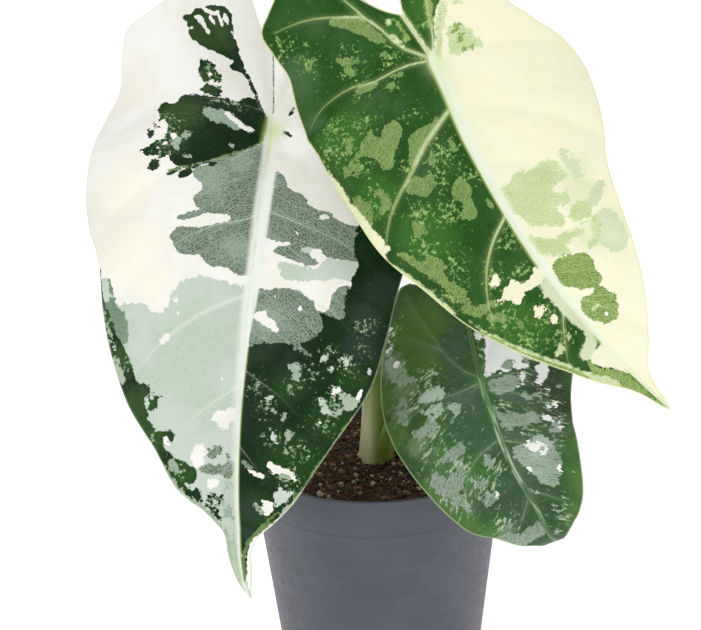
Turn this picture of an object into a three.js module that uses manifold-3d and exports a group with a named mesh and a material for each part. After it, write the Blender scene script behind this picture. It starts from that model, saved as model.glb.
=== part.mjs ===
// A potted variegated Alocasia micholitziana 'Frydek': three arrow-shaped leaves that hang from tall
// petioles, a rootstock set in potting mix, and a plain tapered nursery pot with drain holes.
//
// Millimetres, +Z up. The origin is the centre of the pot's floor, on the surface the pot stands on.
// The leaves face -Y. Every leaf blade is drawn flat first, in leaf coordinates: u across the blade
// (positive on the side of +X) and v along the midrib, from 0 at the petiole towards the tip. The flat
// blade is then bent along its spine in space, folded along the midrib and curled at the margins.

import * as THREE from "three";
import { mergeVertices } from "three/addons/utils/BufferGeometryUtils.js";
import Module from "manifold-3d";

const wasm = await Module();
wasm.setup();

// ---------------------------------------------------------------- driving dimensions

const GAP = 0.3; // running gap between solids that touch on the real plant

const POT = {
  height: 107,
  rimRadius: 60,
  slope: 0.133, // radius gained per millimetre of height
  wall: 1.3,
  bandHeight: 18, // the plain collar below the rim
  bandStep: 0.35, // how far the collar stands proud of the body
  lip: 2.0, // width of the rim's top
  lipDepth: 5, // how far down the inside the rim's thickening reaches
  footWidth: 4.4, // the ring that the pot stands on, with the centre disc
  discRadius: 22,
  arch: 2.2, // height of the raised floor between disc and ring
  floor: 1.5,
  ramp: 1.5, // run of the slopes on both sides of the raised floor
  ease: 0.8, // rounding of the foot and the rim
  drainRadius: 3.6,
  drainCircle: 32,
  drains: 8,
  segments: 56,
};

const SOIL = {
  edgeBelowRim: 4.6,
  centreBelowRim: 1.6,
  relief: 2.2, // height of the crumbs on the surface
  holeRadius: 10.8,
  holeDepth: 44,
  rings: 13,
};

// The corm: [share of the radius, share of the height] up its side, with the scars of old leaves.
const ROOTSTOCK = {
  radius: 10.2,
  height: 29,
  side: [
    [0.5, 0],
    [0.86, 0.16],
    [1, 0.42],
    [0.96, 0.66],
    [0.99, 0.72],
    [0.93, 0.86],
    [0.95, 1],
  ],
};

const BLADE_THICKNESS = 0.9;
const MIDRIB = { height: 2.6, width: 2.6 }; // the keel under the blade, at the petiole
const RIB = { height: 0.8, width: 2.2 }; // a side vein's keel
const QUILT = { depth: 0.019, width: 0.086 }; // channels along the veins, as shares of the half width
const JUNCTION_PAD = { height: 1.8, width: 6 };
const STALK = {
  sheathReach: 0.18, // share of the stalk's length over which its wide base dies away
  sheathShare: 0.65, // share of the taper that lies in that base
  groove: 0.14, // depth of the groove in front, as a share of the radius
  grooveWidth: 0.25,
};

// Each outline runs from the end of a back lobe, round the outer margin, to the leaf's tip, as [u, v].
// Each sinus runs from the same lobe end to where the two lobes grow together, at [0, -fused].
// The spine's second point is the junction with the petiole. facing is the way the upper side looks, at
// given distances from the junction. fold, curl and wave shape the cross-section, the left half first.
const LEAVES = {
  left: {
    spine: [
      [-41, 2, 300],
      [-42, -20, 272],
      [-48, -50, 240],
      [-55, -80, 194],
      [-59, -98, 156],
      [-60, -108, 122],
      [-57, -112, 87],
    ],
    facing: [
      { at: 0, towards: [0, -0.94, 0.34] },
      { at: 213, towards: [0, -1, 0.1] },
    ],
    fold: [0.18, 0.18],
    curl: [0.3, 0.3],
    halfWidth: 70,
    wave: { height: 1.6, length: 62, phases: [0.4, 2.2] },
    outlines: [
      [
        [-24, -76],
        [-29, -75],
        [-37, -68],
        [-46, -60],
        [-57, -53],
        [-65, -47],
        [-67, -36],
        [-68, -21],
        [-73, -9],
        [-77, 10],
        [-78, 30],
        [-74, 53],
        [-66, 74],
        [-63, 90],
        [-56, 113],
        [-48, 130],
        [-37, 145],
        [-26, 163],
        [-12, 175],
        [-7.5, 181],
        [-6.5, 192],
        [-3.5, 206],
        [0, 213],
      ],
      [
        [24, -74],
        [29, -73],
        [36, -66],
        [44, -54],
        [51, -42],
        [55, -28],
        [60, -8],
        [65, 20],
        [67, 45],
        [63, 70],
        [60, 92],
        [54, 118],
        [45, 135],
        [33, 154],
        [22, 171],
        [14, 179],
        [7, 185],
        [3.5, 191],
        [2, 201],
        [0, 213],
      ],
    ],
    sinuses: [
      [
        [-24, -76],
        [-19, -75],
        [-12, -66],
        [-8, -55],
        [-4, -43],
        [0, -36],
      ],
      [
        [24, -74],
        [19, -73],
        [13, -65],
        [8, -54],
        [4, -43],
        [0, -36],
      ],
    ],
    veins: [
      [[0, 7], [-12, 15.5], [-23, 21.7], [-32, 26.3], [-41, 31], [-56, 42], [-69, 58]],
      [[0, 42], [-5, 46], [-17, 50.5], [-27, 56], [-42, 68], [-60, 90]],
      [[0, 79], [-12, 85], [-20, 90], [-29, 97], [-36, 104], [-49, 120]],
      [[0, 118], [-18, 132], [-33, 148]],
      [[0, 148], [-10, 160], [-16, 170]],
      [[0, -4], [-4, -6], [-8, -14], [-11, -21], [-16, -29], [-25, -42], [-34, -62]],
      [[0, -6], [-30, -12], [-54, -8], [-68, 8]],
      [[0, 10], [26, 22], [50, 34], [64, 50]],
      [[0, 40], [7, 42.5], [18, 46.5], [31, 51], [42, 56], [60, 70]],
      [[0, 72], [9, 73], [17, 75], [25, 78], [32, 81.5], [39, 87], [46, 94], [56, 107]],
      [[0, 112], [20, 126], [36, 146]],
      [[0, 145], [10, 158], [18, 170]],
      [[0, -4], [10, -24], [22, -48], [32, -64]],
      [[0, -6], [28, -10], [46, -6], [58, 10]],
    ],
    petiole: {
      path: [
        [-5, -1, 91],
        [-5, -1, 99],
        [-3.5, -0.5, 118],
        [-2.6, 1, 135],
        [-6, 5, 165],
        [-18, 10, 205],
        [-33, 8, 240],
        [-41, -5, 262],
        [-42.5, -26, 277],
      ],
      radii: [4.2, 2.6],
    },
  },
  right: {
    spine: [
      [15, -52, 328],
      [28, -62, 309],
      [41, -78, 279],
      [59, -90, 247],
      [83, -97, 212],
      [105, -98, 184],
      [125, -96, 162],
    ],
    facing: [
      { at: 0, towards: [-0.1, -0.94, 0.34] },
      { at: 184, towards: [0, -1, 0.1] },
    ],
    fold: [0.22, 0.15],
    curl: [0.42, 0.35],
    halfWidth: 62,
    wave: { height: 1.5, length: 55, phases: [1.2, 3.0] },
    outlines: [
      [
        [-27, -68],
        [-32, -67],
        [-40, -61],
        [-47, -57],
        [-54, -53],
        [-55, -42],
        [-55, -30],
        [-60, -19],
        [-63, -5],
        [-61, 20],
        [-57.5, 40],
        [-55, 59],
        [-47, 80],
        [-41, 98],
        [-32, 116],
        [-21, 136],
        [-12, 152],
        [-6, 162],
        [-3, 171],
        [-1.5, 179],
        [0, 184],
      ],
      [
        [20, -66],
        [25, -65],
        [32, -57],
        [37, -44],
        [37.5, -30],
        [36.5, -16],
        [39.5, -5],
        [46, 3.5],
        [53, 11],
        [56.5, 20],
        [57, 36],
        [53, 58],
        [46, 75],
        [42, 90],
        [36, 112],
        [28, 131],
        [15, 151],
        [6, 162],
        [3, 170],
        [1.5, 178],
        [0, 184],
      ],
    ],
    sinuses: [
      [
        [-27, -68],
        [-22, -66.5],
        [-16.5, -55],
        [-10, -38],
        [-4.5, -29],
        [0, -24.5],
      ],
      [
        [20, -66],
        [15, -64],
        [9, -53],
        [4, -36],
        [1.5, -28],
        [0, -24.5],
      ],
    ],
    veins: [
      [[0, -2], [-4, -7], [-8, -13], [-10.5, -23], [-14, -32], [-21, -37], [-35, -45], [-49, -49]],
      [[-10.5, -23], [-13.5, -31], [-16, -40], [-20, -52], [-26, -62]],
      [[0, -1], [-7.5, -4], [-14, -5.5], [-27, -7], [-34, -10.5], [-46, -12], [-53, -11.5], [-59, -8]],
      [[0, 20], [-3.5, 22], [-10, 26.5], [-18.5, 32], [-28, 38.5], [-37, 44], [-45, 50], [-51, 57]],
      [[0, 70], [-3, 72], [-9, 75.5], [-15, 80], [-20.5, 85.5], [-27, 95], [-32, 106]],
      [[0, 112], [-8, 122], [-18, 138]],
      [[0, -2], [5, -9], [10, -20], [20, -38], [24, -52]],
      [[0, 0], [14, 2], [22, 4], [36, 7.5], [50, 11]],
      [[0, 20], [12, 26.5], [22.5, 33], [32, 40.5], [38, 46], [48, 62]],
      [[0, 48], [20, 60], [36, 78]],
      [[0, 78], [18, 92], [30, 109]],
      [[0, 112], [9, 126], [17, 144]],
    ],
    petiole: {
      path: [
        [4.6, 3.4, 91],
        [4.6, 3.4, 99],
        [4.2, 3.4, 118],
        [4.4, 4, 135],
        [5.5, 5, 160],
        [9, 6, 190],
        [15, 3, 225],
        [25, -6, 255],
        [30, -24, 282],
        [29, -50, 303],
        [28, -68, 312],
      ],
      radii: [4.4, 2.5],
    },
  },
  low: {
    spine: [
      [43, -22, 174],
      [47, -40, 157],
      [51, -56, 145.5],
      [57.5, -72, 131],
      [69.5, -86, 112.5],
      [74, -88, 105],
      [76.5, -83, 101],
      [78, -73, 101.5],
      [78.5, -63, 103],
    ],
    facing: [
      { at: 0, towards: [0.1, -0.94, 0.5] },
      { at: 70, towards: [0.1, -0.92, 0.23] },
      { at: 103, towards: [0.1, -0.3, -1] },
    ],
    fold: [0.15, 0.15],
    curl: [0.3, 0.3],
    halfWidth: 45,
    wave: { height: 0.9, length: 44, phases: [0, 1.6] },
    outlines: [
      [
        [-22, -52],
        [-26, -51],
        [-30, -45],
        [-36, -31],
        [-43, -11],
        [-46, 9],
        [-43, 29],
        [-37, 47],
        [-30, 63],
        [-23, 71],
        [-16, 77],
        [-8, 83],
        [-5, 89],
        [-3, 96],
        [0, 103],
      ],
      [
        [17, -51],
        [21, -50],
        [29, -43],
        [37, -32],
        [43, -17],
        [43.5, -3],
        [39, 12],
        [33, 36],
        [31, 50],
        [26, 63],
        [20.5, 73.5],
        [14, 80],
        [7, 85],
        [4.5, 90],
        [2, 97],
        [0, 103],
      ],
    ],
    sinuses: [
      [
        [-22, -52],
        [-18, -50],
        [-10, -41],
        [-4, -35],
        [0, -31],
      ],
      [
        [17, -51],
        [13, -50],
        [7, -42],
        [3, -35],
        [0, -31],
      ],
    ],
    veins: [
      [[0, 1], [-11, 5], [-20, 7], [-27, 8.5], [-36, 12], [-42, 22]],
      [[0, 31], [-4, 33], [-11, 36], [-18, 40.5], [-27, 52], [-31, 60]],
      [[0, 60], [-8, 68], [-16, 78]],
      [[0, -1], [-9, -8], [-13, -14], [-16, -22], [-20, -32], [-24, -46]],
      [[-14, -16], [-24, -23], [-30, -26], [-36, -26]],
      [[0, 5], [10, 9], [18, 15], [26, 22], [33, 34]],
      [[0, 32], [9, 37.5], [17.5, 43], [22, 50], [25.5, 57]],
      [[0, 58], [8, 66], [17, 76]],
      [[0, -2], [10, -18], [18, -34], [20, -46]],
      [[0, -1], [11, 0], [22, 2], [36, 10]],
    ],
    petiole: {
      path: [
        [1.9, -5.6, 91],
        [1.9, -5.6, 99],
        [4, -7.5, 116],
        [11, -10, 132],
        [24, -15, 143],
        [38, -25, 150.5],
        [50, -46, 160],
      ],
      radii: [4.2, 1.9],
    },
  },
};

const BLADE_ROWS = { lobe: 9, main: 27 };
const BLADE_COLUMNS = 9;
const PETIOLE_RINGS = 26;
const PETIOLE_SIDES = 12;

const COLOURS = {
  pot: 0x5d6067,
  soil: 0x2c1a12,
  rootstock: 0x8a6a48,
  petiole: 0x9db56a,
  blade: 0x2f5d35,
};

// ---------------------------------------------------------------- curves

const clamp = (x, low, high) => Math.min(high, Math.max(low, x));

// Distances along a chain of points, from its first point.
function chordLengths(points) {
  const lengths = [0];
  for (let i = 1; i < points.length; i++) {
    lengths.push(lengths[i - 1] + Math.hypot(...points[i].map((x, k) => x - points[i - 1][k])));
  }
  return lengths;
}

// A smooth curve through points at the given knots, straight beyond its ends.
function curveAt(knots, points, t) {
  const last = points.length - 1;
  const step = (i) => points[i + 1].map((x, k) => (x - points[i][k]) / (knots[i + 1] - knots[i]));
  const slope = (i) => {
    if (i === 0) return step(0);
    if (i === last) return step(last - 1);
    const before = knots[i] - knots[i - 1];
    const after = knots[i + 1] - knots[i];
    return step(i - 1).map((x, k) => (x * after + step(i)[k] * before) / (before + after));
  };
  let i = 0;
  while (i < last - 1 && t >= knots[i + 1]) i++;
  const h = knots[i + 1] - knots[i];
  const x = (t - knots[i]) / h;
  const s = clamp(x, 0, 1);
  const [a, b, p, q] = [points[i], points[i + 1], slope(i), slope(i + 1)];
  return a.map(
    (_, k) =>
      (2 * s ** 3 - 3 * s ** 2 + 1) * a[k] +
      (s ** 3 - 2 * s ** 2 + s) * h * p[k] +
      (3 * s ** 2 - 2 * s ** 3) * b[k] +
      (s ** 3 - s ** 2) * h * q[k] +
      h * (Math.min(x, 0) * p[k] + Math.max(x - 1, 0) * q[k]),
  );
}

// Distance from a point to a chain of straight pieces, in the leaf's plane.
function distanceToChain([x, y], chain) {
  let nearest = Infinity;
  for (let i = 1; i < chain.length; i++) {
    const [ax, ay] = chain[i - 1];
    const [dx, dy] = [chain[i][0] - ax, chain[i][1] - ay];
    const t = clamp(((x - ax) * dx + (y - ay) * dy) / (dx * dx + dy * dy), 0, 1);
    nearest = Math.min(nearest, Math.hypot(x - ax - t * dx, y - ay - t * dy));
  }
  return nearest;
}

const bell = (x, width) => Math.exp(-((x / width) ** 2));

// ---------------------------------------------------------------- meshes and solids

function solidFrom(geometry) {
  const bare = geometry.index ? geometry.toNonIndexed() : geometry.clone();
  bare.deleteAttribute("normal");
  bare.deleteAttribute("uv");
  const merged = mergeVertices(bare, 1e-4);
  return new wasm.Manifold(
    new wasm.Mesh({
      numProp: 3,
      vertProperties: new Float32Array(merged.attributes.position.array),
      triVerts: new Uint32Array(merged.index.array),
    }),
  );
}

function geometryFrom(solid) {
  const { vertProperties, triVerts } = solid.getMesh();
  const geometry = new THREE.BufferGeometry();
  geometry.setAttribute("position", new THREE.BufferAttribute(vertProperties, 3));
  geometry.setIndex(new THREE.BufferAttribute(triVerts, 1));
  return geometry;
}

function geometryOf(points, triangles) {
  const geometry = new THREE.BufferGeometry();
  geometry.setAttribute("position", new THREE.Float32BufferAttribute(points.flat(), 3));
  geometry.setIndex(triangles.flat());
  return geometry;
}

const largestBody = (solid) => solid.decompose().reduce((a, b) => (a.volume() > b.volume() ? a : b));

// A profile of [radius, height] turned round +Z. LatheGeometry turns about Y, so it is stood up.
function turned(profile, segments) {
  const points = profile.map(([r, z]) => new THREE.Vector2(r, z));
  return new THREE.LatheGeometry(points, segments).rotateX(Math.PI / 2);
}

function drainCylinder(x, y) {
  const length = 4 * (POT.arch + POT.floor);
  const cylinder = new THREE.CylinderGeometry(POT.drainRadius, POT.drainRadius, length, 16);
  return solidFrom(cylinder.rotateX(Math.PI / 2).translate(x, y, 0));
}

// ---------------------------------------------------------------- leaf blade

class Blade {
  constructor(shape) {
    this.shape = shape;
    const lengths = chordLengths(shape.spine);
    this.knots = lengths.map((x) => x - lengths[1]);
    this.tip = this.knots.at(-1);
    this.fused = -shape.sinuses[0].at(-1)[1];
    this.veins = shape.veins.map((points) => {
      const knots = chordLengths(points);
      const steps = 2 * points.length;
      return Array.from({ length: steps + 1 }, (_, i) =>
        curveAt(knots, points, (knots.at(-1) * i) / steps),
      );
    });
  }

  // Origin, across and outward directions of the blade at v.
  frameAt(v) {
    const at = (t) => new THREE.Vector3(...curveAt(this.knots, this.shape.spine, t));
    const along = at(v + 0.5).sub(at(v - 0.5)).normalize();
    const stops = this.shape.facing.map((stop) => stop.at);
    const towards = this.shape.facing.map((stop) => stop.towards);
    const facing = curveAt(stops, towards, clamp(v, 0, this.tip));
    const across = new THREE.Vector3(...facing).cross(along).normalize();
    return { origin: at(v), across, out: along.clone().cross(across) };
  }

  veinDistance(u, v) {
    return Math.min(...this.veins.map((vein) => distanceToChain([u, v], vein)));
  }

  // Height of the upper side over the flat strip at the midrib.
  heightAt(u, v) {
    const { fold, curl, halfWidth, wave } = this.shape;
    const side = u > 0 ? 1 : 0;
    const share = Math.abs(u) / halfWidth;
    const roll = fold[side] * Math.abs(u) - curl[side] * halfWidth * share ** 3;
    const ripple = wave.height * Math.sin((2 * Math.PI * v) / wave.length + wave.phases[side]);
    const nearest = Math.min(this.veinDistance(u, v), Math.abs(u));
    const channel = QUILT.depth * halfWidth * bell(nearest, QUILT.width * halfWidth);
    return roll + ripple * share ** 2 - channel;
  }

  pointAt(u, v) {
    const { origin, across, out } = this.frameAt(v);
    return origin.addScaledVector(across, u).addScaledVector(out, this.heightAt(u, v));
  }

  normalAt(u, v) {
    const e = 0.4;
    const du = this.pointAt(u + e, v).sub(this.pointAt(u - e, v));
    const dv = this.pointAt(u, v + e).sub(this.pointAt(u, v - e));
    return dv.cross(du).normalize();
  }

  // The blade is thin, with keels below its veins and a pad where the petiole joins.
  thicknessAt(u, v) {
    const fade = clamp(1 - v / this.tip, 0.15, 1);
    const keel = MIDRIB.height * fade * bell(u, MIDRIB.width) * (v > -this.fused ? 1 : 0);
    const rib = RIB.height * bell(this.veinDistance(u, v), RIB.width);
    const pad = JUNCTION_PAD.height * bell(Math.hypot(u, v), JUNCTION_PAD.width);
    return BLADE_THICKNESS + Math.max(keel, rib) + pad;
  }

  // Rows of [u, v] points across one half, from the lobe's end to the tip.
  rowsOf(side) {
    const outline = this.shape.outlines[side];
    const sinus = this.shape.sinuses[side];
    const outer = chordLengths(outline);
    const inner = chordLengths(sinus);
    const lobeShare = inner.at(-1) / (inner.at(-1) + this.fused + this.tip);
    const { lobe, main } = BLADE_ROWS;
    return Array.from({ length: lobe + main + 1 }, (_, row) => {
      const inLobe = row <= lobe;
      const t = inLobe ? row / lobe : (row - lobe) / main;
      const start = inLobe
        ? curveAt(inner, sinus, inner.at(-1) * t)
        : [0, -this.fused + (this.tip + this.fused) * t];
      const share = inLobe ? lobeShare * t : lobeShare + (1 - lobeShare) * t;
      const end = curveAt(outer, outline, outer.at(-1) * share);
      return Array.from({ length: BLADE_COLUMNS + 1 }, (_, column) => {
        const a = (column / BLADE_COLUMNS) ** 1.15;
        return [start[0] + (end[0] - start[0]) * a, start[1] + (end[1] - start[1]) * a];
      });
    });
  }

  // One closed shell: the upper side, the lower side with the same triangles, and the margin.
  geometry(clearance = 0) {
    const flat = [];
    const index = new Map();
    const vertex = ([u, v]) => {
      const key = `${u.toFixed(3)},${v.toFixed(3)}`.replace(/-0\.000/g, "0.000");
      if (!index.has(key)) {
        index.set(key, flat.length);
        flat.push([u, v]);
      }
      return index.get(key);
    };
    const upper = [];
    for (const side of [0, 1]) {
      const rows = this.rowsOf(side).map((row) => row.map(vertex));
      for (let i = 0; i < rows.length - 1; i++) {
        for (let j = 0; j < BLADE_COLUMNS; j++) {
          const [a, b, c, d] = [rows[i][j], rows[i][j + 1], rows[i + 1][j + 1], rows[i + 1][j]];
          for (const [p, q, r] of [
            [a, b, c],
            [a, c, d],
          ]) {
            if (p !== q && q !== r && r !== p) upper.push(side ? [p, r, q] : [p, q, r]);
          }
        }
      }
    }
    const top = flat.map(([u, v]) => this.pointAt(u, v).addScaledVector(this.normalAt(u, v), clearance));
    const bottom = flat.map(([u, v]) =>
      this.pointAt(u, v).addScaledVector(this.normalAt(u, v), -this.thicknessAt(u, v) - clearance),
    );
    const n = flat.length;
    const lower = upper.map(([p, q, r]) => [p + n, r + n, q + n]);
    const edges = new Set(upper.flatMap(([p, q, r]) => [`${p} ${q}`, `${q} ${r}`, `${r} ${p}`]));
    const margin = [...edges]
      .map((edge) => edge.split(" ").map(Number))
      .filter(([p, q]) => !edges.has(`${q} ${p}`))
      .flatMap(([p, q]) => [
        [q, p, p + n],
        [q, p + n, q + n],
      ]);
    return geometryOf(
      [...top, ...bottom].map((p) => p.toArray()),
      [...upper, ...lower, ...margin],
    );
  }
}

// ---------------------------------------------------------------- petiole

// A tapering stalk with a shallow groove along its front, closed at both ends.
function stalk({ path, radii }) {
  const knots = chordLengths(path);
  const length = knots.at(-1);
  const at = (t) => new THREE.Vector3(...curveAt(knots, path, t));
  const points = [];
  const triangles = [];
  for (let ring = 0; ring <= PETIOLE_RINGS; ring++) {
    const t = (length * ring) / PETIOLE_RINGS;
    const along = at(t + 0.5).sub(at(t - 0.5)).normalize();
    const right = new THREE.Vector3(1, 0, 0).addScaledVector(along, -along.x).normalize();
    const front = right.clone().cross(along);
    const sheath = Math.exp(-t / (length * STALK.sheathReach));
    const taper = STALK.sheathShare * sheath + (1 - STALK.sheathShare) * (1 - t / length);
    const radius = radii[1] + (radii[0] - radii[1]) * taper;
    for (let k = 0; k < PETIOLE_SIDES; k++) {
      const angle = (2 * Math.PI * k) / PETIOLE_SIDES;
      const hollow = STALK.groove * bell(1 - Math.sin(angle), STALK.grooveWidth) * (1 - sheath);
      const spoke = right.clone().multiplyScalar(Math.cos(angle)).addScaledVector(front, Math.sin(angle));
      points.push(at(t).addScaledVector(spoke, radius * (1 - hollow)).toArray());
    }
  }
  for (let ring = 0; ring < PETIOLE_RINGS; ring++) {
    for (let k = 0; k < PETIOLE_SIDES; k++) {
      const a = ring * PETIOLE_SIDES + k;
      const b = ring * PETIOLE_SIDES + ((k + 1) % PETIOLE_SIDES);
      triangles.push([a, a + PETIOLE_SIDES, b], [b, a + PETIOLE_SIDES, b + PETIOLE_SIDES]);
    }
  }
  const top = PETIOLE_RINGS * PETIOLE_SIDES;
  for (let k = 1; k < PETIOLE_SIDES - 1; k++) {
    triangles.push([0, k, k + 1], [top, top + k + 1, top + k]);
  }
  return geometryOf(points, triangles);
}

// The stalk ends just under the blade: what would pass through the blade is cut away.
function petioleGeometry(blade) {
  const whole = solidFrom(stalk(blade.shape.petiole));
  return geometryFrom(largestBody(whole.subtract(solidFrom(blade.geometry(GAP)))));
}

// ---------------------------------------------------------------- pot, soil, rootstock

const potRadiusAt = (z) => POT.rimRadius - POT.slope * (POT.height - z);

function potGeometry() {
  const { height, wall, bandHeight, bandStep, lip, lipDepth } = POT;
  const { footWidth, discRadius, arch, floor, ramp, ease } = POT;
  const foot = potRadiusAt(0);
  const band = height - bandHeight;
  const inside = (z) => potRadiusAt(z) - wall;
  const profile = [
    [0, 0],
    [discRadius, 0],
    [discRadius + ramp, arch],
    [foot - footWidth - ramp, arch],
    [foot - footWidth, 0],
    [foot - ease, 0],
    [potRadiusAt(ease), ease],
    [potRadiusAt(band) - bandStep, band - bandStep],
    [potRadiusAt(band), band + bandStep],
    [potRadiusAt(height - ease), height - ease],
    [potRadiusAt(height) - ease, height],
    [potRadiusAt(height) - lip, height],
    [inside(height - lipDepth), height - lipDepth],
    [inside(arch + floor), arch + floor],
    [discRadius, arch + floor],
    [discRadius - ramp, floor],
    [0, floor],
  ];
  let pot = solidFrom(turned(profile, POT.segments));
  for (let i = 0; i < POT.drains; i++) {
    const angle = (2 * Math.PI * (i + 0.5)) / POT.drains;
    const centre = [POT.drainCircle * Math.cos(angle), POT.drainCircle * Math.sin(angle)];
    pot = pot.subtract(drainCylinder(...centre));
  }
  return geometryFrom(pot);
}

// A fixed pattern of crumbs between -1 and 1, made of crossed waves that never line up.
function crumbs(x, y) {
  return (
    0.5 * Math.sin(0.55 * x + 1.7 * Math.sin(0.31 * y)) * Math.cos(0.47 * y - 0.6) +
    0.3 * Math.sin(0.93 * x - 0.71 * y + 2.1) +
    0.2 * Math.cos(1.37 * x + 1.13 * y)
  );
}

const soilHeightAt = (r) => {
  const share = clamp((r - SOIL.holeRadius) / (potRadiusAt(POT.height) - SOIL.holeRadius), 0, 1);
  const slump = (SOIL.edgeBelowRim - SOIL.centreBelowRim) * share ** 1.4;
  return POT.height - SOIL.centreBelowRim - slump;
};

function soilGeometry() {
  const bottom = POT.arch + POT.floor + GAP;
  const edge = (z) => potRadiusAt(z) - POT.wall - GAP;
  const holeFloor = POT.height - SOIL.centreBelowRim - SOIL.holeDepth;
  const surface = Array.from({ length: SOIL.rings + 1 }, (_, i) => {
    const rimEdge = edge(POT.height - SOIL.edgeBelowRim - 1);
    const r = SOIL.holeRadius + ((rimEdge - SOIL.holeRadius) * i) / SOIL.rings;
    return [r, soilHeightAt(r)];
  });
  const profile = [
    [0, bottom],
    [edge(bottom), bottom],
    ...surface.reverse(),
    [SOIL.holeRadius, holeFloor],
    [0, holeFloor],
  ];
  const geometry = turned(profile, POT.segments - 8);
  const { position } = geometry.attributes;
  for (let i = 0; i < position.count; i++) {
    const [x, y, z] = [position.getX(i), position.getY(i), position.getZ(i)];
    const r = Math.hypot(x, y);
    const onTop = Math.abs(z - soilHeightAt(r)) < 0.01 && r > SOIL.holeRadius + 1;
    if (onTop) position.setZ(i, z + (SOIL.relief * (crumbs(x, y) - 1)) / 2);
  }
  return geometry;
}

function rootstockGeometry() {
  const { radius, height, side } = ROOTSTOCK;
  const bottom = POT.height - SOIL.centreBelowRim - SOIL.holeDepth + GAP;
  const outline = side.map(([r, z]) => [radius * r, bottom + height * z]);
  return turned([[0, bottom], ...outline, [0, bottom + height]], 20);
}

// ---------------------------------------------------------------- assembly

function piece(name, geometry, color, roughness) {
  const mesh = new THREE.Mesh(geometry, new THREE.MeshStandardMaterial({ color, roughness, metalness: 0 }));
  mesh.name = name;
  return mesh;
}

const plant = new THREE.Group();
plant.add(piece("pot", potGeometry(), COLOURS.pot, 0.45));
plant.add(piece("soil", soilGeometry(), COLOURS.soil, 0.95));
plant.add(piece("rootstock", rootstockGeometry(), COLOURS.rootstock, 0.8));
for (const [name, shape] of Object.entries(LEAVES)) {
  const blade = new Blade(shape);
  plant.add(piece(`petiole_${name}`, petioleGeometry(blade), COLOURS.petiole, 0.5));
  plant.add(piece(`blade_${name}`, blade.geometry(), COLOURS.blade, 0.45));
}

export default plant;
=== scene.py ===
"""The looks of a potted variegated Alocasia micholitziana 'Frydek'.

Shapes are worked out in millimetres and put into Blender in metres, in the frame's own axes: +Z up,
the origin under the middle of the pot, the leaves facing -Y. A leaf blade is drawn flat first, with u
across it (positive on the side of +X) and v along its midrib, from 0 at the petiole towards the tip.
Its markings are outlines in the same flat millimetres.
"""

import math
import random
from types import SimpleNamespace as Sizes

import bpy
import numpy as np
from mathutils import Matrix, Vector, noise


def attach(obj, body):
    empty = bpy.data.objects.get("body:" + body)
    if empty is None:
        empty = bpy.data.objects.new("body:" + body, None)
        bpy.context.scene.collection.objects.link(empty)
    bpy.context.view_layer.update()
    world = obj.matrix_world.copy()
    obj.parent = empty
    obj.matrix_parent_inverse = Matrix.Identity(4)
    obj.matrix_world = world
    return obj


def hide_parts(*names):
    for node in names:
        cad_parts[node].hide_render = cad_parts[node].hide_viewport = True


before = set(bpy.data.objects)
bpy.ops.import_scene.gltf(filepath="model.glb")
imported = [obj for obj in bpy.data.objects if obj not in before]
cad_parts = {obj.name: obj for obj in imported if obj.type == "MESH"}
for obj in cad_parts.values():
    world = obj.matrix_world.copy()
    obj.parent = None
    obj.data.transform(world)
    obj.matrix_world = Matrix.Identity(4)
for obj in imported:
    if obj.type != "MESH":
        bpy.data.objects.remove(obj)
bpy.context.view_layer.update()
bpy.ops.object.select_all(action="DESELECT")

MM = 0.001
FLAT_SCALE = 0.01  # a flat map holds the flat millimetres times this
WELD = 0.004  # points closer than this become one
FAR = 1e9  # farther than any point of a leaf
DEEP = 30.0  # deeper in a tissue than any marking reaches

# ---- driving dimensions

POT = Sizes(
    height=107,
    rim_radius=60,
    slope=0.133,  # radius gained per millimetre of height
    wall=1.3,
    collar=18,
    collar_step=0.35,
    lip=2.0,
    lip_depth=5,
    foot_width=4.4,
    disc_radius=22,
    arch=2.2,
    floor=1.5,
    ramp=1.5,
    rounding=0.45,
    drain_radius=3.6,
    drain_circle=32,
    drill_length=30,
    drains=8,
    sides=160,
)
SOIL = Sizes(
    edge_below_rim=5.4,
    centre_below_rim=3.0,
    depth=96,
    top_gap=0.9,  # between the mix and the pot's wall, at its top and down its side
    side_gap=0.7,
    settled=0.8,  # how far the rough top lies below the smooth one
)
CLODS = Sizes(height=1.3, per_mm=0.11)
CRUMBS = Sizes(height=2.0, per_mm=0.34)
GRIT = Sizes(height=0.45, per_mm=1.1)
LUMP_RING = (8, 55)  # the radii between which lumps lie on the mix
FIBRE = Sizes(ring=(9, 54), limit=55, lengths=(6, 22), steps=6)

THICKNESS = Sizes(
    margin=0.42,
    middle=0.7,
    thins_over=8,
    keel=2.6,
    keel_width=2.6,
    keel_at_tip=0.15,  # the share of the keel that is left at the tip
    rib=0.8,
    rib_width=1.6,
    rib_ends_over=6,
)
PAD = Sizes(height=1.8, width=6)
CHANNEL = Sizes(depth=0.019, width=0.086)  # shares of the half width
CREASE = Sizes(depth=0.28, width=1.3)
PUFF = Sizes(
    clear_of_veins=5,
    flat_rim=4,
    swell=0.55,
    swells_per_mm=0.16,
    pebble=0.22,
    pebbles_per_mm=0.45,
)
LEVEL_OVER = 20  # the length over which a fold fades out
CELL = 1.0  # the blade's mesh has a point about every millimetre
CROWDING = 1.1  # above 1, the mesh is finer beside the midrib
CORNER = Sizes(reaches=(1.3, 0.5), share=0.3)  # how much of a marking's corners is cut off

VEIN = Sizes(taper=0.6, reach=3, fade=0.7)
GLOW = Sizes(centre=2, line=0.8, line_width=0.9, line_centre=8, line_length=16)
SLIT_ENDS_OVER = 9
DEPTH_LIMIT = 12  # how deep in a tissue its material still tells depths apart
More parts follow.
